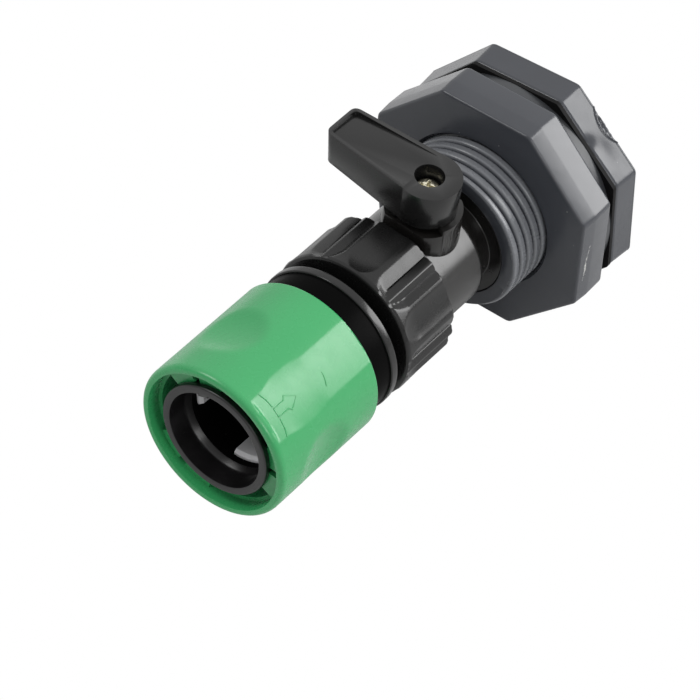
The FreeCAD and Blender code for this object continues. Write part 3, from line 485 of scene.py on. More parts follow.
for spot in steps_between(head_back - THREAD_CHAMFER, web_back, SOCKET_PITCH / SOCKET_STEPS):
    body_rings.append((thread(spot, SOCKET_THREAD, socket_crest, SOCKET_PITCH), spot))
web_front = station("inlet_seal", 1)
body_rings += [(WEB_BORE, web_back), (WEB_BORE, web_front)]
front_bore = SOCKET_THREAD + THREAD_ROOM
body_rings += [(front_bore, web_front), (front_bore, shank_front + RIM_DEPTH)]
body_rings += [(front_bore + RIM_EASE, shank_front + RIM_EASE),
               (front_bore + RIM_ROUND, shank_front)]
body_turns = sorted({round(turn % 360.0, 4) for turn in octagon_turns(HEAD_TURN)} |
                    {GATE_TURN + step * GATE_STEP for step in range(-GATE_STEPS, GATE_STEPS + 1)})
bulkhead = radial_solid("bulkhead_moulding", body_rings, body_turns, 40.0)
nut_scuffs = (((24.9, -9.6, 5.6), (25.3, -10.3, 2.2)), ((25.2, -10.3, 3.0), (25.4, -10.5, 0.2)),
              ((25.3, -10.2, 1.4), (25.6, -10.7, -3.0)))
grey_pvc = moulded("grey_pvc", srgb(53, 55, 60), 0.24, wave=0.09, dust=0.35, shine=0.43,
                   scuffs=nut_scuffs)
bulkhead.data.materials.append(grey_pvc)
# The shank thread's crests are painted paler: a painted highlight for the light they catch.
thread_crest_highlight = moulded("thread_crest_highlight", srgb(53, 55, 60), 0.27, wave=0.03, dust=0.4,
                      painted_highlight=(srgb(102, 104, 108), shank_root + HIGHLIGHT_RISE, SHANK_THREAD - HIGHLIGHT_CREST))
bulkhead.data.materials.append(thread_crest_highlight)
# The outward faces of the shank thread take the painted crest highlight.
for face in bulkhead.data.polygons:
    out = Vector((face.center.x, 0.0, face.center.z))
    threaded = shank_root - 0.2 < out.length / MM < SHANK_THREAD + 0.1
    if threaded and face.normal.dot(out) > 0:
        face.material_index = 1
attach(bulkhead, "fitting")
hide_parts("bulkhead_body")

# The lock nut is a second grey moulding with eight flats, run up the shank by hand or spanner.
# Its thread is cut short by a chamfer at each face. The flats slope a little both ways from the
# mould's parting line.
NUT_CORNER = 27.4
NUT_TURN = 17.5
PARTING_SHARE = 0.42
PARTING_EASE = 0.25
FRONT_SINK = 0.014
REAR_SINK = 0.006
FRONT_DRAFT = 0.2
REAR_DRAFT = 0.1
REAR_ROUND = 0.75
FRONT_CHAMFER = 0.7
REAR_CHAMFER = 0.6
nut_front = station("bulkhead_nut", 0)
nut_back = station("bulkhead_nut", 1)
nut_bore = SHANK_THREAD + THREAD_ROOM
parting = nut_front + (nut_back - nut_front) * PARTING_SHARE
nut_rings = octagon_edge(NUT_CORNER, NUT_TURN, nut_front, 1.0, draft=FRONT_DRAFT)
nut_rings += [(octagon(NUT_CORNER, NUT_TURN, FRONT_SINK), parting - PARTING_EASE),
              (octagon(NUT_CORNER, NUT_TURN), parting),
              (octagon(NUT_CORNER, NUT_TURN, REAR_SINK), parting + PARTING_EASE)]
nut_rings += reversed(octagon_edge(NUT_CORNER, NUT_TURN, nut_back, -1.0, REAR_ROUND, REAR_DRAFT))
nut_rings += [(nut_bore + REAR_CHAMFER, nut_back), (nut_bore, nut_back - REAR_CHAMFER)]
nut_rings += [(nut_bore, nut_front + FRONT_CHAMFER), (nut_bore + FRONT_CHAMFER, nut_front)]
lock_nut = radial_solid("lock_nut_moulding", nut_rings, octagon_turns(NUT_TURN))
lock_nut.data.materials.append(grey_pvc)
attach(lock_nut, "lock_nut")
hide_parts("bulkhead_nut")

# Behind the nut lie a plain plastic slip washer and a black rubber gasket cut to the head's
# outline. They keep their shapes from the model and get their finishes here.


def dress(material, *nodes):
    """Give model nodes a finish."""
    for node in nodes:
        slots = frame["nodes"][node].data.materials
        slots.clear()
        slots.append(material)


rubber = moulded("black_rubber", srgb(10, 10, 11), 0.68, grain=0.15, grain_height=0.006, shine=0.15)
dress(rubber, "head_gasket", "inlet_seal", "stem_ring_lower", "stem_ring_upper", "union_washer")
washer_plastic = moulded("washer_plastic", srgb(48, 50, 53), 0.45)
dress(washer_plastic, "slip_washer")

# The valve's body is black plastic, moulded in one: a threaded inlet, a round-shouldered barrel
# round the ball, and a spigot for the union nut. A turret with a flat front and back carries the
# stem, and a low wall on its deck stops the lever.
NECK = 10.4
BARREL = 12.4
BARREL_ROUND = 1.9
BARREL_BEHIND = 7.2
CAVITY = 8.4
VALVE_BORE = 6.5
TURRET = 7.6
TURRET_SPREAD = 1.04
TURRET_FLAT = 6.1
DECK = 15.6
WALL_INSIDE = 5.2
WALL_START = -24.0
WALL_END = 66.0
LEVER_BOTTOM = 16.9
STEM_HOLE = 4.08
INLET_GAP = 0.3
SPIGOT_LENGTH = 10.2
TURRET_FOOT = 9.0
TURRET_SOFT = 0.2
WALL_SUNK = 1.0
WALL_GAP = 0.1
CUT_TOP = 30.0
EDGE_ANGLE = 34.0
ROUND_COUNT = 144


def rounded(outline, size, steps=4):
    """An outline with its corners eased; a corner's own size may follow its two numbers."""
    eased = []
    for index, corner in enumerate(outline):
        here = Vector(corner[:2])
        arrive = Vector(outline[index - 1][:2]) - here
        leave = Vector(outline[(index + 1) % len(outline)][:2]) - here
        reach = corner[2] if len(corner) > 2 else size
        if reach == 0:
            eased.append((here.x, here.y))
            continue
        reach = min(reach, arrive.length * 0.45, leave.length * 0.45)
        start = here + arrive.normalized() * reach
        end = here + leave.normalized() * reach
        for step in range(steps + 1):
            share = step / steps
            spot = start * (1 - share) ** 2 + here * 2 * share * (1 - share) + end * share ** 2
            eased.append((spot.x, spot.y))
    return eased


def upright(name, outline, low, high, spread=1.0):
    """A vertical prism over the stem's axis, from an outline in millimetres.

    The spread scales the lower outline, for a mould's draft."""
    mesh = bmesh.new()
    lower = [mesh.verts.new((MM * across * spread, MM * (stem_y + along * spread), MM * low))
             for across, along in outline]
    upper = [mesh.verts.new((MM * across, MM * (stem_y + along), MM * high))
             for across, along in outline]
    mesh.faces.new(lower)
    mesh.faces.new(upper)
    for index in range(len(outline)):
        beside = (index + 1) % len(outline)
        mesh.faces.new((lower[index], lower[beside], upper[beside], upper[index]))
    return made_piece(name, mesh)


def circle(radius, count=72):
    return [(radius * math.cos(math.radians(turn)), radius * math.sin(math.radians(turn)))
            for turn in even_turns(count)]


def settle(piece):
    """Bake a piece's modifiers into its mesh."""
    graph = bpy.context.evaluated_depsgraph_get()
    shaped = bpy.data.meshes.new_from_object(piece.evaluated_get(graph))
    piece.modifiers.clear()
    piece.data = shaped
    shaped.polygons.foreach_set("use_smooth", [True] * len(shaped.polygons))
    shaped.set_sharp_from_angle(angle=math.radians(CREASE))


def carve(piece, *tools, operation="DIFFERENCE"):
    """Cut tools out of a piece, or weld them on, and throw the tools away."""
    for tool in tools:
        change = piece.modifiers.new("carve", "BOOLEAN")
        change.operation = operation
        change.solver = "EXACT"
        change.object = tool
        settle(piece)
        bpy.data.objects.remove(tool)


def soften(piece, width, segments=3):
    """Round off a piece's sharp edges as a mould does."""
    bevel = piece.modifiers.new("soft_edges", "BEVEL")
    bevel.width = width * MM
    bevel.segments = segments
    bevel.limit_method = "ANGLE"
    bevel.angle_limit = math.radians(EDGE_ANGLE)
    bevel.use_clamp_overlap = True
    bevel.harden_normals = True
    settle(piece)


def sector_outline(inner, outer, first, last, steps):
    """A block of a flat ring, seen from above, between two angles from +X towards +Y."""
    turns = [math.radians(first + (last - first) * step / steps) for step in range(steps + 1)]
    outline = [(outer * math.cos(turn), outer * math.sin(turn)) for turn in turns]
    return outline + [(inner * math.cos(turn), inner * math.sin(turn)) for turn in reversed(turns)]


def arc(radius, first, last, steps):
    """Points of an arc round the stem, by angle from +X towards +Y."""
    return sector_outline(radius, radius, first, last, steps)[:steps + 1]


stem_y = [joint for joint in frame["joints"] if joint["name"] == "valve_turn"][0]["pos_m"][1] / MM
inlet_start = shank_front + INLET_GAP
inlet_end = station("valve_body", 1)
spigot_end = station("valve_body", 0)
barrel_back = stem_y + BARREL_BEHIND
spigot_start = spigot_end + SPIGOT_LENGTH
seat_shoulder = station("seat_rear", 1)
shoulder = [(BARREL - BARREL_ROUND * (1.0 - math.cos(math.radians(turn))),
             barrel_back - BARREL_ROUND * (1.0 - math.sin(math.radians(turn))), 0)
            for turn in range(90, -1, -10)]
valve_rings = rounded([
    (VALVE_BORE, inlet_end), (SOCKET_THREAD - THREAD_CHAMFER, inlet_end),
    (SOCKET_THREAD, inlet_end - THREAD_CHAMFER), (SOCKET_THREAD, inlet_start, 0.12),
    (NECK, inlet_start), (NECK, barrel_back, 0.5), *shoulder, (BARREL, spigot_start),
    (SOCKET_THREAD, spigot_start), (SOCKET_THREAD, spigot_end + THREAD_CHAMFER),
    (SOCKET_THREAD - THREAD_CHAMFER, spigot_end), (CAVITY, spigot_end), (CAVITY, seat_shoulder),
    (VALVE_BORE, seat_shoulder),
], 0.25, 5)
valve = radial_solid("valve_tube", valve_rings, even_turns(ROUND_COUNT))
black_valve = moulded("black_valve", srgb(17, 16, 15), 0.25, blotch=0.2, dust=0.12, shine=0.45)
valve.data.materials.append(black_valve)


def flattened(piece):
    """Hold a piece between the turret's front and back flats."""
    for vertex in piece.data.vertices:
        off = vertex.co.y / MM - stem_y
        vertex.co.y = MM * (stem_y + min(max(off, -TURRET_FLAT), TURRET_FLAT))
    return piece


flat_turn = math.degrees(math.asin(TURRET_FLAT / TURRET))
turret_outline = [point for first in (-flat_turn, 180.0 - flat_turn)
                  for point in arc(TURRET, first, first + 2 * flat_turn, 30)]
tower = flattened(upright("turret", turret_outline, TURRET_FOOT, DECK, TURRET_SPREAD))
wall_outline = sector_outline(WALL_INSIDE, TURRET, WALL_START, WALL_END, 30)
wall = upright("stop_wall", wall_outline, DECK - WALL_SUNK, LEVER_BOTTOM - WALL_GAP)
carve(tower, flattened(wall), operation="UNION")
carve(tower, upright("stem_hole", circle(STEM_HOLE), 0.0, CUT_TOP))
soften(tower, TURRET_SOFT)
tower.data.materials.append(black_valve)
for piece in (valve, tower):
    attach(piece, "fitting")
    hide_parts("valve_body")

# The lever is a black moulded arm with a shallow dish on top and a hollow underneath. Its round
# boss sits on the stem's square, and a skirt under the boss meets the turret's wall.
LEVER_TOP = 24.9
LEVER_REACH = 21.6
LEVER_END = 4.6
LEVER_ROOT = 6.25
LEVER_SOFT = 0.22
ARM_START = 2.0
ARM_CORNER = 1.6
ARM_STEPS = 6
ARM_DRAFT = 0.86
TIP_DRAFT = 0.6
BOSS = 6.45
BOSS_TURN = 106.0
LUG_ROOM = 2.0
LUG_DEPTH = 1.1
LUG_SUNK = 1.5
ARM_HOLLOW = [(-8.0, 3.4), (-8.0, -3.4), (-20.0, -2.6), (-20.0, 2.6)]
HOLLOW_ROOF = 22.5
SQUARE_HALF = 2.75
SQUARE_ROOF = 19.1
SCREW_HOLE = 1.55
DISH_START = 1.5
DISH_DEPTH = 0.9
DISH_RIM = 0.75
WELL = 3.0
SCREW_SEAT = 20.0
arm_outline = rounded([(-ARM_START, LEVER_ROOT), (-LEVER_REACH, LEVER_END, ARM_CORNER),
                       (-LEVER_REACH, -LEVER_END, ARM_CORNER), (-ARM_START, -LEVER_ROOT)],
                      0.01, ARM_STEPS)
arm_corners = arm_outline[ARM_STEPS + 1:-ARM_STEPS - 1]
lever_outline = arc(BOSS, -BOSS_TURN, BOSS_TURN, 48) + arm_corners
lever = upright("lever_moulding", lever_outline, LEVER_BOTTOM, LEVER_TOP)
for vertex in lever.data.vertices:
    across = vertex.co.x / MM
    if vertex.co.z < SCREW_SEAT * MM and across < -3.0:
        vertex.co.y = stem_y * MM + (vertex.co.y - stem_y * MM) * ARM_DRAFT
        vertex.co.x += TIP_DRAFT * MM * (across < -20.0)
lug_outline = sector_outline(WALL_INSIDE, BOSS - 0.05, WALL_END + LUG_ROOM,
                             WALL_START - LUG_ROOM + 270.0, 40)
lug = upright("stop_lug", lug_outline, LEVER_BOTTOM - LUG_DEPTH, LEVER_BOTTOM + LUG_SUNK)
carve(lever, lug, operation="UNION")
hollow = upright("arm_hollow", ARM_HOLLOW, 16.0, HOLLOW_ROOF)
square = [(SQUARE_HALF, SQUARE_HALF), (-SQUARE_HALF, SQUARE_HALF),
          (-SQUARE_HALF, -SQUARE_HALF), (SQUARE_HALF, -SQUARE_HALF)]
drive = upright("drive_room", rounded(square, 0.2), 15.0, SQUARE_ROOF)
well = upright("screw_well", circle(WELL, 48), SCREW_SEAT, 26.0)
shank_hole = upright("shank_hole", circle(SCREW_HOLE, 32), 17.0, SCREW_SEAT + 1.0)
dish_end = LEVER_REACH - DISH_RIM
dish_outline = rounded([(DISH_START, LEVER_ROOT - DISH_RIM), (-dish_end, LEVER_END - DISH_RIM, 1.0),
                        (-dish_end, DISH_RIM - LEVER_END, 1.0),
                        (DISH_START, DISH_RIM - LEVER_ROOT)], 0.2)
dish = upright("dish", dish_outline, LEVER_TOP - DISH_DEPTH, LEVER_TOP + 2.0)
for vertex in dish.data.vertices:
    if vertex.co.z < LEVER_TOP * MM:
        along = (vertex.co.x / MM + dish_end) / (dish_end - ARM_START)
        vertex.co.z = (LEVER_TOP - DISH_DEPTH * (1.0 - along)) * MM
carve(lever, hollow, drive, well, shank_hole, dish)
soften(lever, LEVER_SOFT)
lever_plastic = moulded("lever_plastic", srgb(18, 18, 18), 0.25, grain=0.2, dust=0.15, shine=0.45)
lever.data.materials.append(lever_plastic)
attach(lever, "lever_and_ball")
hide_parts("lever")

# A plated steel screw sits deep in the boss and holds the lever on its stem. Its head is domed and
# bright, with a cross recess.
SCREW_HEAD = 2.6
SCREW_SHANK = 1.45
SCREW_SIDES = 64
CROSS_TURN = 20.0
CROSS_HALF = 1.75
CROSS_WIDE = 0.34
CROSS_FLOOR = 21.0
CROSS_DRAFT = 0.55


def lathe(name, outline, count):
    """A solid turned round the stem's axis, from an outline of (radius, height)."""
    mesh = bmesh.new()
    loops = []
    for radius, height in outline:
        if radius < 0.001:
            loops.append([mesh.verts.new((0, MM * stem_y, MM * height))] * count)
        else:
            loops.append([mesh.verts.new((MM * across, MM * (stem_y + along), MM * height))
                          for across, along in circle(radius, count)])
    for lower, upper in zip(loops, loops[1:]):
        for spot in range(count):
            beside = (spot + 1) % count
            corners = [lower[spot], lower[beside], upper[beside], upper[spot]]
            mesh.faces.new(list(dict.fromkeys(corners)))
    return made_piece(name, mesh)


screw = lathe("lever_screw_metal", [
    (0, 12.0), (0.9, 12.0), (SCREW_SHANK, 13.0), (SCREW_SHANK, SCREW_SEAT),
    (SCREW_HEAD, SCREW_SEAT), (SCREW_HEAD, 21.3), (2.35, 21.75), (1.9, 22.05), (1.3, 22.18),
    (0, 22.2),
], SCREW_SIDES)
wing = [(-CROSS_HALF, -CROSS_WIDE), (CROSS_HALF, -CROSS_WIDE),
        (CROSS_HALF, CROSS_WIDE), (-CROSS_HALF, CROSS_WIDE)]
for turn in (0.0, 90.0):
    angle = math.radians(turn + CROSS_TURN)
    turned = [(x * math.cos(angle) - y * math.sin(angle), x * math.sin(angle) + y * math.cos(angle))
              for x, y in wing]
    carve(screw, upright("cross_wing", turned, CROSS_FLOOR, 22.7, CROSS_DRAFT))
soften(screw, 0.08, 2)
plating = moulded("plated_steel", srgb(236, 230, 205), 0.26, grain=0.1)
plating.node_tree.nodes["Principled BSDF"].inputs["Metallic"].default_value = 1.0
screw.data.materials.append(plating)
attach(screw, "lever_and_ball")
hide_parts("lever_screw")

# Inside the valve are a polished ball, two pale seats and the black stem and retainer. They keep
# their shapes from the model; the ball and seats show only through the open ends.
black_stem = moulded("black_stem", srgb(32, 32, 32), 0.35)
dress(black_stem, "stem", "seat_retainer")
pale_seat = moulded("pale_seat", srgb(222, 222, 216), 0.4)
dress(pale_seat, "seat_rear", "seat_front")
ball_finish = moulded("polished_ball", srgb(215, 214, 208), 0.15)
dress(ball_finish, "ball")

# The union nut is a black moulding for the fingers. Six smooth thumb flutes and six ribbed
# stretches take turns round it, each with a rounded end short of the nut's front rim.
UNION = 16.0
UNION_BORE = 10.6
UNION_THREAD = 13.32
UNION_FLANGE = 1.2
UNION_LIP = 0.85
GROUP_TURN = 60.0
RIDGE_TURN = 30.5
FLUTE_RUN_OUT = 5.2
FLUTE_DEPTH = 0.8
FLUTE_CUTTER = 14.0
RIDGE_CUTTER = 12.4
RIDGE_PROFILE = [(-14.5, 16.0), (-4.7, 15.25), (-4.0, 14.95), (-3.3, 15.25), (2.0, 15.95),
                 (3.0, 15.95), (7.9, 15.2), (8.5, 14.9), (9.1, 15.2), (14.5, 16.0)]
union_front = station("union_nut", 0)
union_back = station("union_nut", 1)
flute_start = union_front + FLUTE_RUN_OUT


def cutter_reach(off, spot, cutter, depth):
    """The radius that a round-ended cutter leaves, at an angle off its centre line."""
    centre = UNION - depth + cutter
    before = max(flute_start - spot, 0.0)
    width = math.sqrt(max(cutter ** 2 - before ** 2, 0.0))
    across = centre * math.sin(math.radians(off))
    if abs(across) >= width:
        return UNION + 1.0
    return centre * math.cos(math.radians(off)) - math.sqrt(width ** 2 - across ** 2)


def between(profile, spot):
    """The height of a profile of straight stretches."""
    for (left, low), (right, high) in zip(profile, profile[1:]):
        if left <= spot <= right:
            return low + (high - low) * (spot - left) / (right - left)
    return profile[0][1]


def union_surface(spot):
    """The union nut's outside at a station: a flute, then a ribbed stretch, six times over."""
    def reach(turn):
        flute = turn_off(turn, 0.0, GROUP_TURN)
        ridge = turn % GROUP_TURN - RIDGE_TURN
        hollow = cutter_reach(flute, spot, FLUTE_CUTTER, FLUTE_DEPTH)
        ribbed = max(cutter_reach(ridge, spot, RIDGE_CUTTER, FLUTE_DEPTH * 1.5),
                     between(RIDGE_PROFILE, ridge))
        return min(UNION, hollow, ribbed)
    return reach


def trimmed(spot, inset):
    """The union nut's surface, but never outside a smaller radius at its ends."""
    surface = union_surface(spot)
    return lambda turn: min(surface(turn), UNION - inset)


union_turns = sorted(set(even_turns(240)) | {GROUP_TURN * group + RIDGE_TURN + off
                                             for group in range(6) for off, _ in RIDGE_PROFILE})
union_rings = [(UNION_BORE, union_front + UNION_FLANGE), (UNION_BORE, union_front),
               (UNION - UNION_LIP, union_front)]
union_rings += [(trimmed(union_front + back, inset), union_front + back)
                for back, inset in ((0.08, 0.5), (0.3, 0.2), (0.8, 0.0))]
for spot in steps_between(union_front + 1.0, union_back - 0.5, 0.25):
    union_rings.append((union_surface(spot), spot))
union_rings += [(trimmed(union_back - 0.15, 0.15), union_back - 0.15),
                (trimmed(union_back, 0.5), union_back)]
union_rings += [(UNION_THREAD, union_back), (UNION_THREAD, union_front + UNION_FLANGE)]
union = radial_solid("union_moulding", union_rings, union_turns, 28.0)
ribbed_plastic = moulded("ribbed_plastic", srgb(15, 15, 15), 0.26, blotch=0.15, dust=0.12,
                         shine=0.36)
union.data.materials.append(ribbed_plastic)
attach(union, "union")
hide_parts("union_nut")

# The coupling's body is polished black plastic: a tail that the union nut holds, a bright collar,
# a drum that the sleeve slides on, and an inner barrel with three windows for the claws.
TAIL = 10.2
TAIL_BORE = 5.5
TAIL_FLANGE = 12.6
TAIL_FLANGE_GAP = 1.45
TAIL_GAP = 3.0
COLLAR = 15.8
COLLAR_INSIDE = 10.1
COLLAR_THICK = 1.9
GROOVE = 15.3
DRUM = 15.4
DRUM_INSIDE = 14.2
DRUM_DEPTH = 7.5
DRUM_UNDER_SLEEVE = 4.9
BARREL_OUTER = 11.3
BARREL_BORE = 9.8
NOSE = 7.5
NOSE_BORE = 7.0
NOSE_LENGTH = 12.0
WINDOW_TURN = 35.0
WINDOW_HALF = 25.5
WINDOW_ROOM = 0.3
WINDOW_INSIDE = 8.5
WINDOW_OUTSIDE = 12.5
THIRD = 120.0
connector_back = station("connector_body", 1)
connector_front = station("connector_body", 0)
tail_flange_front = union_front + TAIL_FLANGE_GAP
collar_back = union_front - TAIL_GAP
collar_front = collar_back - COLLAR_THICK
sleeve_back = station("release_sleeve", 1)
drum_front = sleeve_back - DRUM_UNDER_SLEEVE
drum_floor = drum_front + DRUM_DEPTH
claw_front = station("claw_1", 0)
claw_back = station("claw_1", 1)
nose_front = claw_back + 1.0
nose_back = nose_front + NOSE_LENGTH
connector_rings = rounded([
    (TAIL_BORE, connector_back), (TAIL_FLANGE, connector_back), (TAIL_FLANGE, tail_flange_front),
    (TAIL, tail_flange_front), (TAIL, collar_back - 0.5), (GROOVE, collar_back - 0.5),
    (GROOVE, collar_front), (DRUM, collar_front - 0.1), (DRUM, drum_front),
    (DRUM_INSIDE, drum_front), (DRUM_INSIDE, drum_floor), (BARREL_OUTER, drum_floor),
    (BARREL_OUTER, connector_front), (BARREL_BORE, connector_front), (BARREL_BORE, nose_front),
    (NOSE, nose_front, 0.4), (NOSE_BORE, nose_front + 0.5), (NOSE_BORE, nose_back),
    (TAIL_BORE, nose_back),
], 0.15, 3)
connector = radial_solid("coupling_body_moulding", connector_rings, even_turns(ROUND_COUNT))
collar_rings = rounded([(COLLAR_INSIDE, collar_back), (COLLAR, collar_back, 0.45),
                        (COLLAR, collar_front, 0.35), (COLLAR_INSIDE, collar_front)], 0.1, 6)
collar = radial_solid("coupling_collar", collar_rings, even_turns(ROUND_COUNT))


def sector_block(name, inner, outer, front, back, middle, half):
    """A block of a tube round the pipe, for cutting a window."""
    mesh = bmesh.new()
    turns = [middle - half + half * step / 8.0 for step in range(17)]
    slices = [[mesh.verts.new(around(radius, turn, spot)) for radius, spot in
               ((inner, front), (outer, front), (outer, back), (inner, back))] for turn in turns]
    for one, other in zip(slices, slices[1:]):
        for side in range(4):
            beside = (side + 1) % 4
            mesh.faces.new((one[side], one[beside], other[beside], other[side]))
    mesh.faces.new(slices[0])
    mesh.faces.new(reversed(slices[-1]))
    return made_piece(name, mesh)


for window in range(3):
    carve(connector, sector_block("claw_window", WINDOW_INSIDE, WINDOW_OUTSIDE,
                                  claw_front - WINDOW_ROOM, claw_back + WINDOW_ROOM,
                                  WINDOW_TURN + THIRD * window, WINDOW_HALF))
gloss_black = moulded("gloss_black", srgb(8, 8, 8), 0.3, blotch=0.1, dust=0.1, shine=0.01)
collar_black = moulded("collar_black", srgb(20, 20, 20), 0.18, blotch=0.1, dust=0.2, shine=0.35)
connector.data.materials.append(gloss_black)
collar.data.materials.append(collar_black)
for piece in (connector, collar):
    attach(piece, "coupling")
    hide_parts("connector_body")

# A dark grey ring is pressed on the barrel's front and closes the mouth. Its flange stops the
# sleeve, its bore steps down to the barrel, and a small key inside lines up the plug.
RING = 11.8
RING_BORE = 10.6
RING_FLANGE = 12.35
RING_FLANGE_THICK = 1.2
KEY_TURN = -23.0
KEY_HALF = 6.2
KEY_HEIGHT = 0.75
KEY_START = 0.35
KEY_LENGTH = 1.5
ring_front = station("mouth_ring", 0)
ring_back = station("mouth_ring", 1)


def key_bore(turn):
    """The mouth's bore with the key standing in from it."""
    return RING_BORE - KEY_HEIGHT if abs(turn_off(turn, KEY_TURN)) < KEY_HALF else RING_BORE


key_edges = (KEY_HALF - 0.01, KEY_HALF + 0.6)
ring_turns = sorted(set(even_turns(ROUND_COUNT)) | {360.0 + KEY_TURN + side * edge
                                                    for side in (-1, 1) for edge in key_edges})
flange_back = ring_front + RING_FLANGE_THICK
ring_rings = rounded([(RING_BORE, ring_front, 0.15), (12.1, ring_front, 0.2),
                      (RING_FLANGE, ring_front + 0.3), (RING_FLANGE, flange_back),
                      (RING, flange_back), (RING, ring_back), (BARREL_BORE, ring_back),
                      (RING_BORE, ring_front + 4.4, 0.3)], 0.15, 3)
key_end = ring_front + KEY_LENGTH
ring_rings.append((RING_BORE, key_end + 0.05))
ring_rings += [(key_bore, key_end), (key_bore, ring_front + KEY_START),
               (RING_BORE, ring_front + KEY_START - 0.1)]
mouth = radial_solid("mouth_ring_moulding", ring_rings, ring_turns)
dark_grey = moulded("dark_grey", srgb(16, 15, 16), 0.3, dust=0.2)
mouth.data.materials.append(dark_grey)
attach(mouth, "coupling")
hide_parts("mouth_ring")

# The release sleeve is bright green plastic. It has three long flats with waisted sides, a thumb
# hollow between each two, a rounded front lip, and lugs inside that catch behind the mouth ring.
SLEEVE = 16.8
SLEEVE_INSIDE = 15.65
SLEEVE_MOUTH = 15.17
SLEEVE_WEB = 11.55
SLEEVE_CONE = 14.35
LIP_ROUND = 0.8
LIP_LENGTH = 1.3
PANEL_MIDDLE = 38.0
PANEL_START = 1.4
PANEL_HALF = 16.6
PANEL_REACH = 30.0
PANEL_HEIGHT = 16.33
PANEL_SOFT = 0.05
PANEL_RUN_IN = 0.5
BULGE = 3.1
BULGE_STATION = 10.5
BULGE_LENGTH = 4.6
HOLLOW_TURN = -27.0
HOLLOW_RADIUS = 17.0
HOLLOW_FLOOR = 15.5
HOLLOW_FORWARD = 1.3
HOLLOW_SOFT = 0.45
LUG = 12.05
LUG_TURN = -31.0
LUG_START = 3.5
LUG_END = 27.0
LUG_LENGTH = 1.0
sleeve_front = station("release_sleeve", 0)
hollow_middle = (sleeve_front + sleeve_back) / 2 - HOLLOW_FORWARD
panel_start = sleeve_front + PANEL_START
bulge_middle = sleeve_front + BULGE_STATION


def eased_least(first, second, blend):
    """The smaller of two heights, with a soft corner where they cross."""
    share = max(blend - abs(first - second), 0.0) / blend
    return min(first, second) - share * share * blend / 4.0


def panel_half(spot):
    """Half a panel's width in degrees: it is widest under the thumb and waisted behind it."""
    return PANEL_HALF + BULGE * math.exp(-((spot - bulge_middle) / BULGE_LENGTH) ** 4)


def panel_height(off, spot):
    """The height over the axis of a panel's slightly crowned face, off degrees from its middle."""
    half = panel_half(spot)
    edge = SLEEVE * math.cos(math.radians(half))
    return PANEL_HEIGHT - (PANEL_HEIGHT - edge) * (off / half) ** 2


def sleeve_surface(spot, lip=0.0):
    """The sleeve's outside at a station: round, with crowned panels and thumb hollows."""
    def reach(turn):
        off = turn_off(turn, PANEL_MIDDLE, THIRD)
        radius = SLEEVE
        if abs(off) < PANEL_REACH:
            run_in = clamped((spot - panel_start) / PANEL_RUN_IN)
            height = panel_height(off, spot) / math.cos(math.radians(off))
            radius = SLEEVE + (eased_least(SLEEVE, height, PANEL_SOFT) - SLEEVE) * run_in
        aside = turn_off(turn, HOLLOW_TURN, THIRD)
        run = HOLLOW_RADIUS ** 2 - (spot - hollow_middle) ** 2
        if run > 0:
            height = HOLLOW_FLOOR + HOLLOW_RADIUS - math.sqrt(run)
            radius = eased_least(radius, height / math.cos(math.radians(aside)), HOLLOW_SOFT)
        return min(radius, SLEEVE - lip) if lip else radius
    return reach


def lugged(turn):
    """The sleeve's inner wall with the lugs standing in from it."""
    return LUG if LUG_START < abs(turn_off(turn, LUG_TURN, THIRD)) < LUG_END else SLEEVE_MOUTH


sleeve_turns = set(even_turns(288))
for panel in range(3):
    for step in range(-44, 45):
        sleeve_turns.add((PANEL_MIDDLE + THIRD * panel + step * 0.5) % 360.0)
    for off in (-27.3, -26.99, -3.51, -3.2, 3.2, 3.51, 26.99, 27.3):
        sleeve_turns.add((LUG_TURN + THIRD * panel + off) % 360.0)
sleeve_turns = sorted(sleeve_turns)
web_face = station("sleeve_spring", 0) - 0.05
lug_front = ring_front + 1.45
cone_front = claw_front - 5.0
sleeve_rings = [(SLEEVE_INSIDE, sleeve_back), (SLEEVE - 0.35, sleeve_back)]
sleeve_rings += [(sleeve_surface(sleeve_back - 0.12, 0.12), sleeve_back - 0.12)]
sleeve_rings += [(sleeve_surface(spot), spot)
                 for spot in steps_between(sleeve_back - 0.35, panel_start + 0.05, 0.3)]
sleeve_rings += [(sleeve_surface(panel_start - 0.05), panel_start - 0.05)]
for degrees in (15.0, 30.0, 45.0, 60.0, 75.0, 90.0):
    angle = math.radians(degrees)
    sleeve_rings.append((SLEEVE - LIP_ROUND * (1.0 - math.cos(angle)),
                         sleeve_front + LIP_LENGTH * (1.0 - math.sin(angle))))
sleeve_rings += [(SLEEVE_MOUTH + 0.35, sleeve_front), (SLEEVE_MOUTH + 0.1, sleeve_front + 0.1),
                 (SLEEVE_MOUTH, sleeve_front + 0.4), (SLEEVE_MOUTH, lug_front - 0.02),
                 (lugged, lug_front), (lugged, lug_front + LUG_LENGTH)]
sleeve_rings += [(SLEEVE_MOUTH, lug_front + LUG_LENGTH + 0.02), (SLEEVE_MOUTH, cone_front + 0.05)]
sleeve_rings += [(SLEEVE_CONE, cone_front + 0.1), (11.93, claw_back + 0.5),
                 (SLEEVE_WEB, claw_back + 0.55), (SLEEVE_WEB, web_face), (SLEEVE_INSIDE, web_face)]
sleeve = radial_solid("release_sleeve_moulding", sleeve_rings, sleeve_turns, 24.0)
green_plastic = moulded("green_plastic", srgb(50, 143, 85), 0.27, blotch=0.05, wave=0.015,
                        shine=0.45)
sleeve.data.materials.append(green_plastic)
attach(sleeve, "sleeve")
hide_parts("release_sleeve")

# On the upper flat the mould leaves a fine step, a plain arrow that shows which way to pull, and
# a short curved mark. They stand a tenth of a millimetre proud in the same green.
LINE = 0.28
LINE_SUNK = 0.1
ARROW_STATION = 4.6


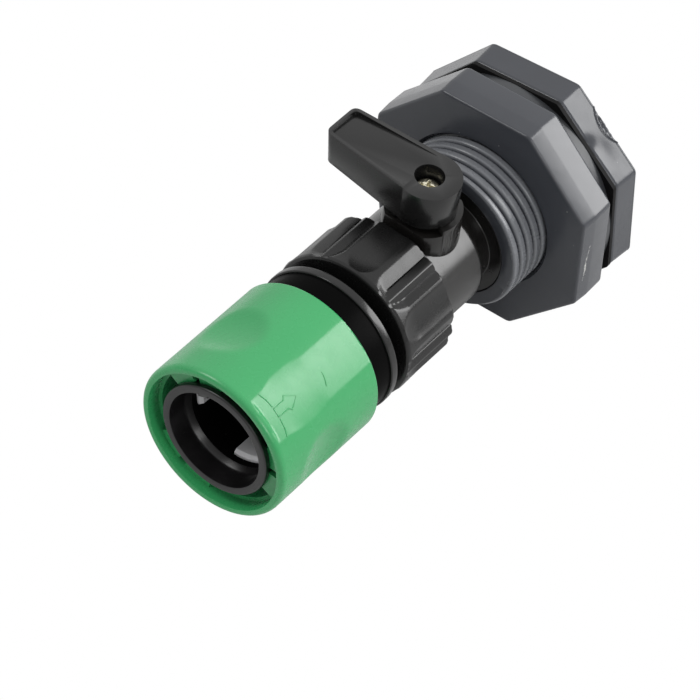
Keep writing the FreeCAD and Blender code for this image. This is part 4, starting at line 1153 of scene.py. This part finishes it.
def panel_place(across, spot):
    """A place on the upper panel for a line's middle: millimetres across it and a station."""
    angle = math.radians(PANEL_MIDDLE)
    radial = panel_height(math.degrees(math.asin(across / SLEEVE)), spot) - LINE * LINE_SUNK
    return Vector((MM * (radial * math.sin(angle) + across * math.cos(angle)), MM * spot,
                   MM * (radial * math.cos(angle) - across * math.sin(angle))))


def raised_line(name, points, closed):
    """A thin raised line on the upper flat through points of (across, station)."""
    curve = bpy.data.curves.new(name, "CURVE")
    curve.dimensions = "3D"
    curve.bevel_depth = LINE * MM / 2
    curve.bevel_resolution = 2
    line = curve.splines.new("POLY")
    line.points.add(len(points) - 1)
    line.use_cyclic_u = closed
    for point, (across, spot) in zip(line.points, points):
        point.co = (*panel_place(across, spot), 1.0)
    piece = bpy.data.objects.new(name, curve)
    bpy.context.scene.collection.objects.link(piece)
    curve.materials.append(green_plastic)
    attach(piece, "sleeve")


arrow_foot = sleeve_front + ARROW_STATION
arrow_side = [(0.88, arrow_foot), (0.92, arrow_foot + 2.9), (1.55, arrow_foot + 3.45)]
raised_line("arrow", arrow_side + [(0.05, arrow_foot + 5.9)] +
            [(-across, spot) for across, spot in reversed(arrow_side)], True)
for name, side in (("step_line_left", -1), ("step_line_right", 1)):
    raised_line(name, [(side * 1.3, arrow_foot + 0.05), (side * 3.2, arrow_foot - 0.2),
                       (side * 4.75, arrow_foot - 0.75)], False)
raised_line("curved_mark", [(-0.1, arrow_foot + 13.6), (0.7, arrow_foot + 13.5),
                            (1.4, arrow_foot + 13.3), (2.6, arrow_foot + 12.75)], False)

# Three pale claws grip the plug. They keep their shapes from the model.
claw_plastic = moulded("claw_plastic", srgb(214, 214, 216), 0.35)
dress(claw_plastic, "claw_1", "claw_2", "claw_3")

# A coil spring of bright steel wire sits in the pocket behind the drum's rim and pushes the sleeve
# forward.
WIRE = 0.5
WIRE_SIDES = 10
WIRE_SLIM = 0.98
COILS = 4
COIL_STEPS = 48
SPRING = 12.8
wire_low = station("sleeve_spring", 0) + WIRE
wire_high = station("sleeve_spring", 1) - WIRE
mesh = bmesh.new()
wire_rings = []
for step in range(COILS * COIL_STEPS + 1):
    middle = wire_low + (wire_high - wire_low) * step / (COILS * COIL_STEPS)
    wire_rings.append([mesh.verts.new(around(SPRING + WIRE * WIRE_SLIM * across,
                                             360.0 * step / COIL_STEPS,
                                             middle + WIRE * WIRE_SLIM * along))
                       for across, along in circle(1.0, WIRE_SIDES)])
for one, other in zip(wire_rings, wire_rings[1:]):
    for part in range(WIRE_SIDES):
        beside = (part + 1) % WIRE_SIDES
        mesh.faces.new((one[part], one[beside], other[beside], other[part]))
for cap in (wire_rings[0], wire_rings[-1]):
    mesh.faces.new(cap)
spring = made_piece("coil_spring", mesh)
spring_wire = moulded("spring_wire", srgb(190, 190, 190), 0.25)
spring_wire.node_tree.nodes["Principled BSDF"].inputs["Metallic"].default_value = 1.0
spring.data.materials.append(spring_wire)
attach(spring, "coupling")
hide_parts("sleeve_spring")
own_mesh(spring)

bpy.context.view_layer.update()
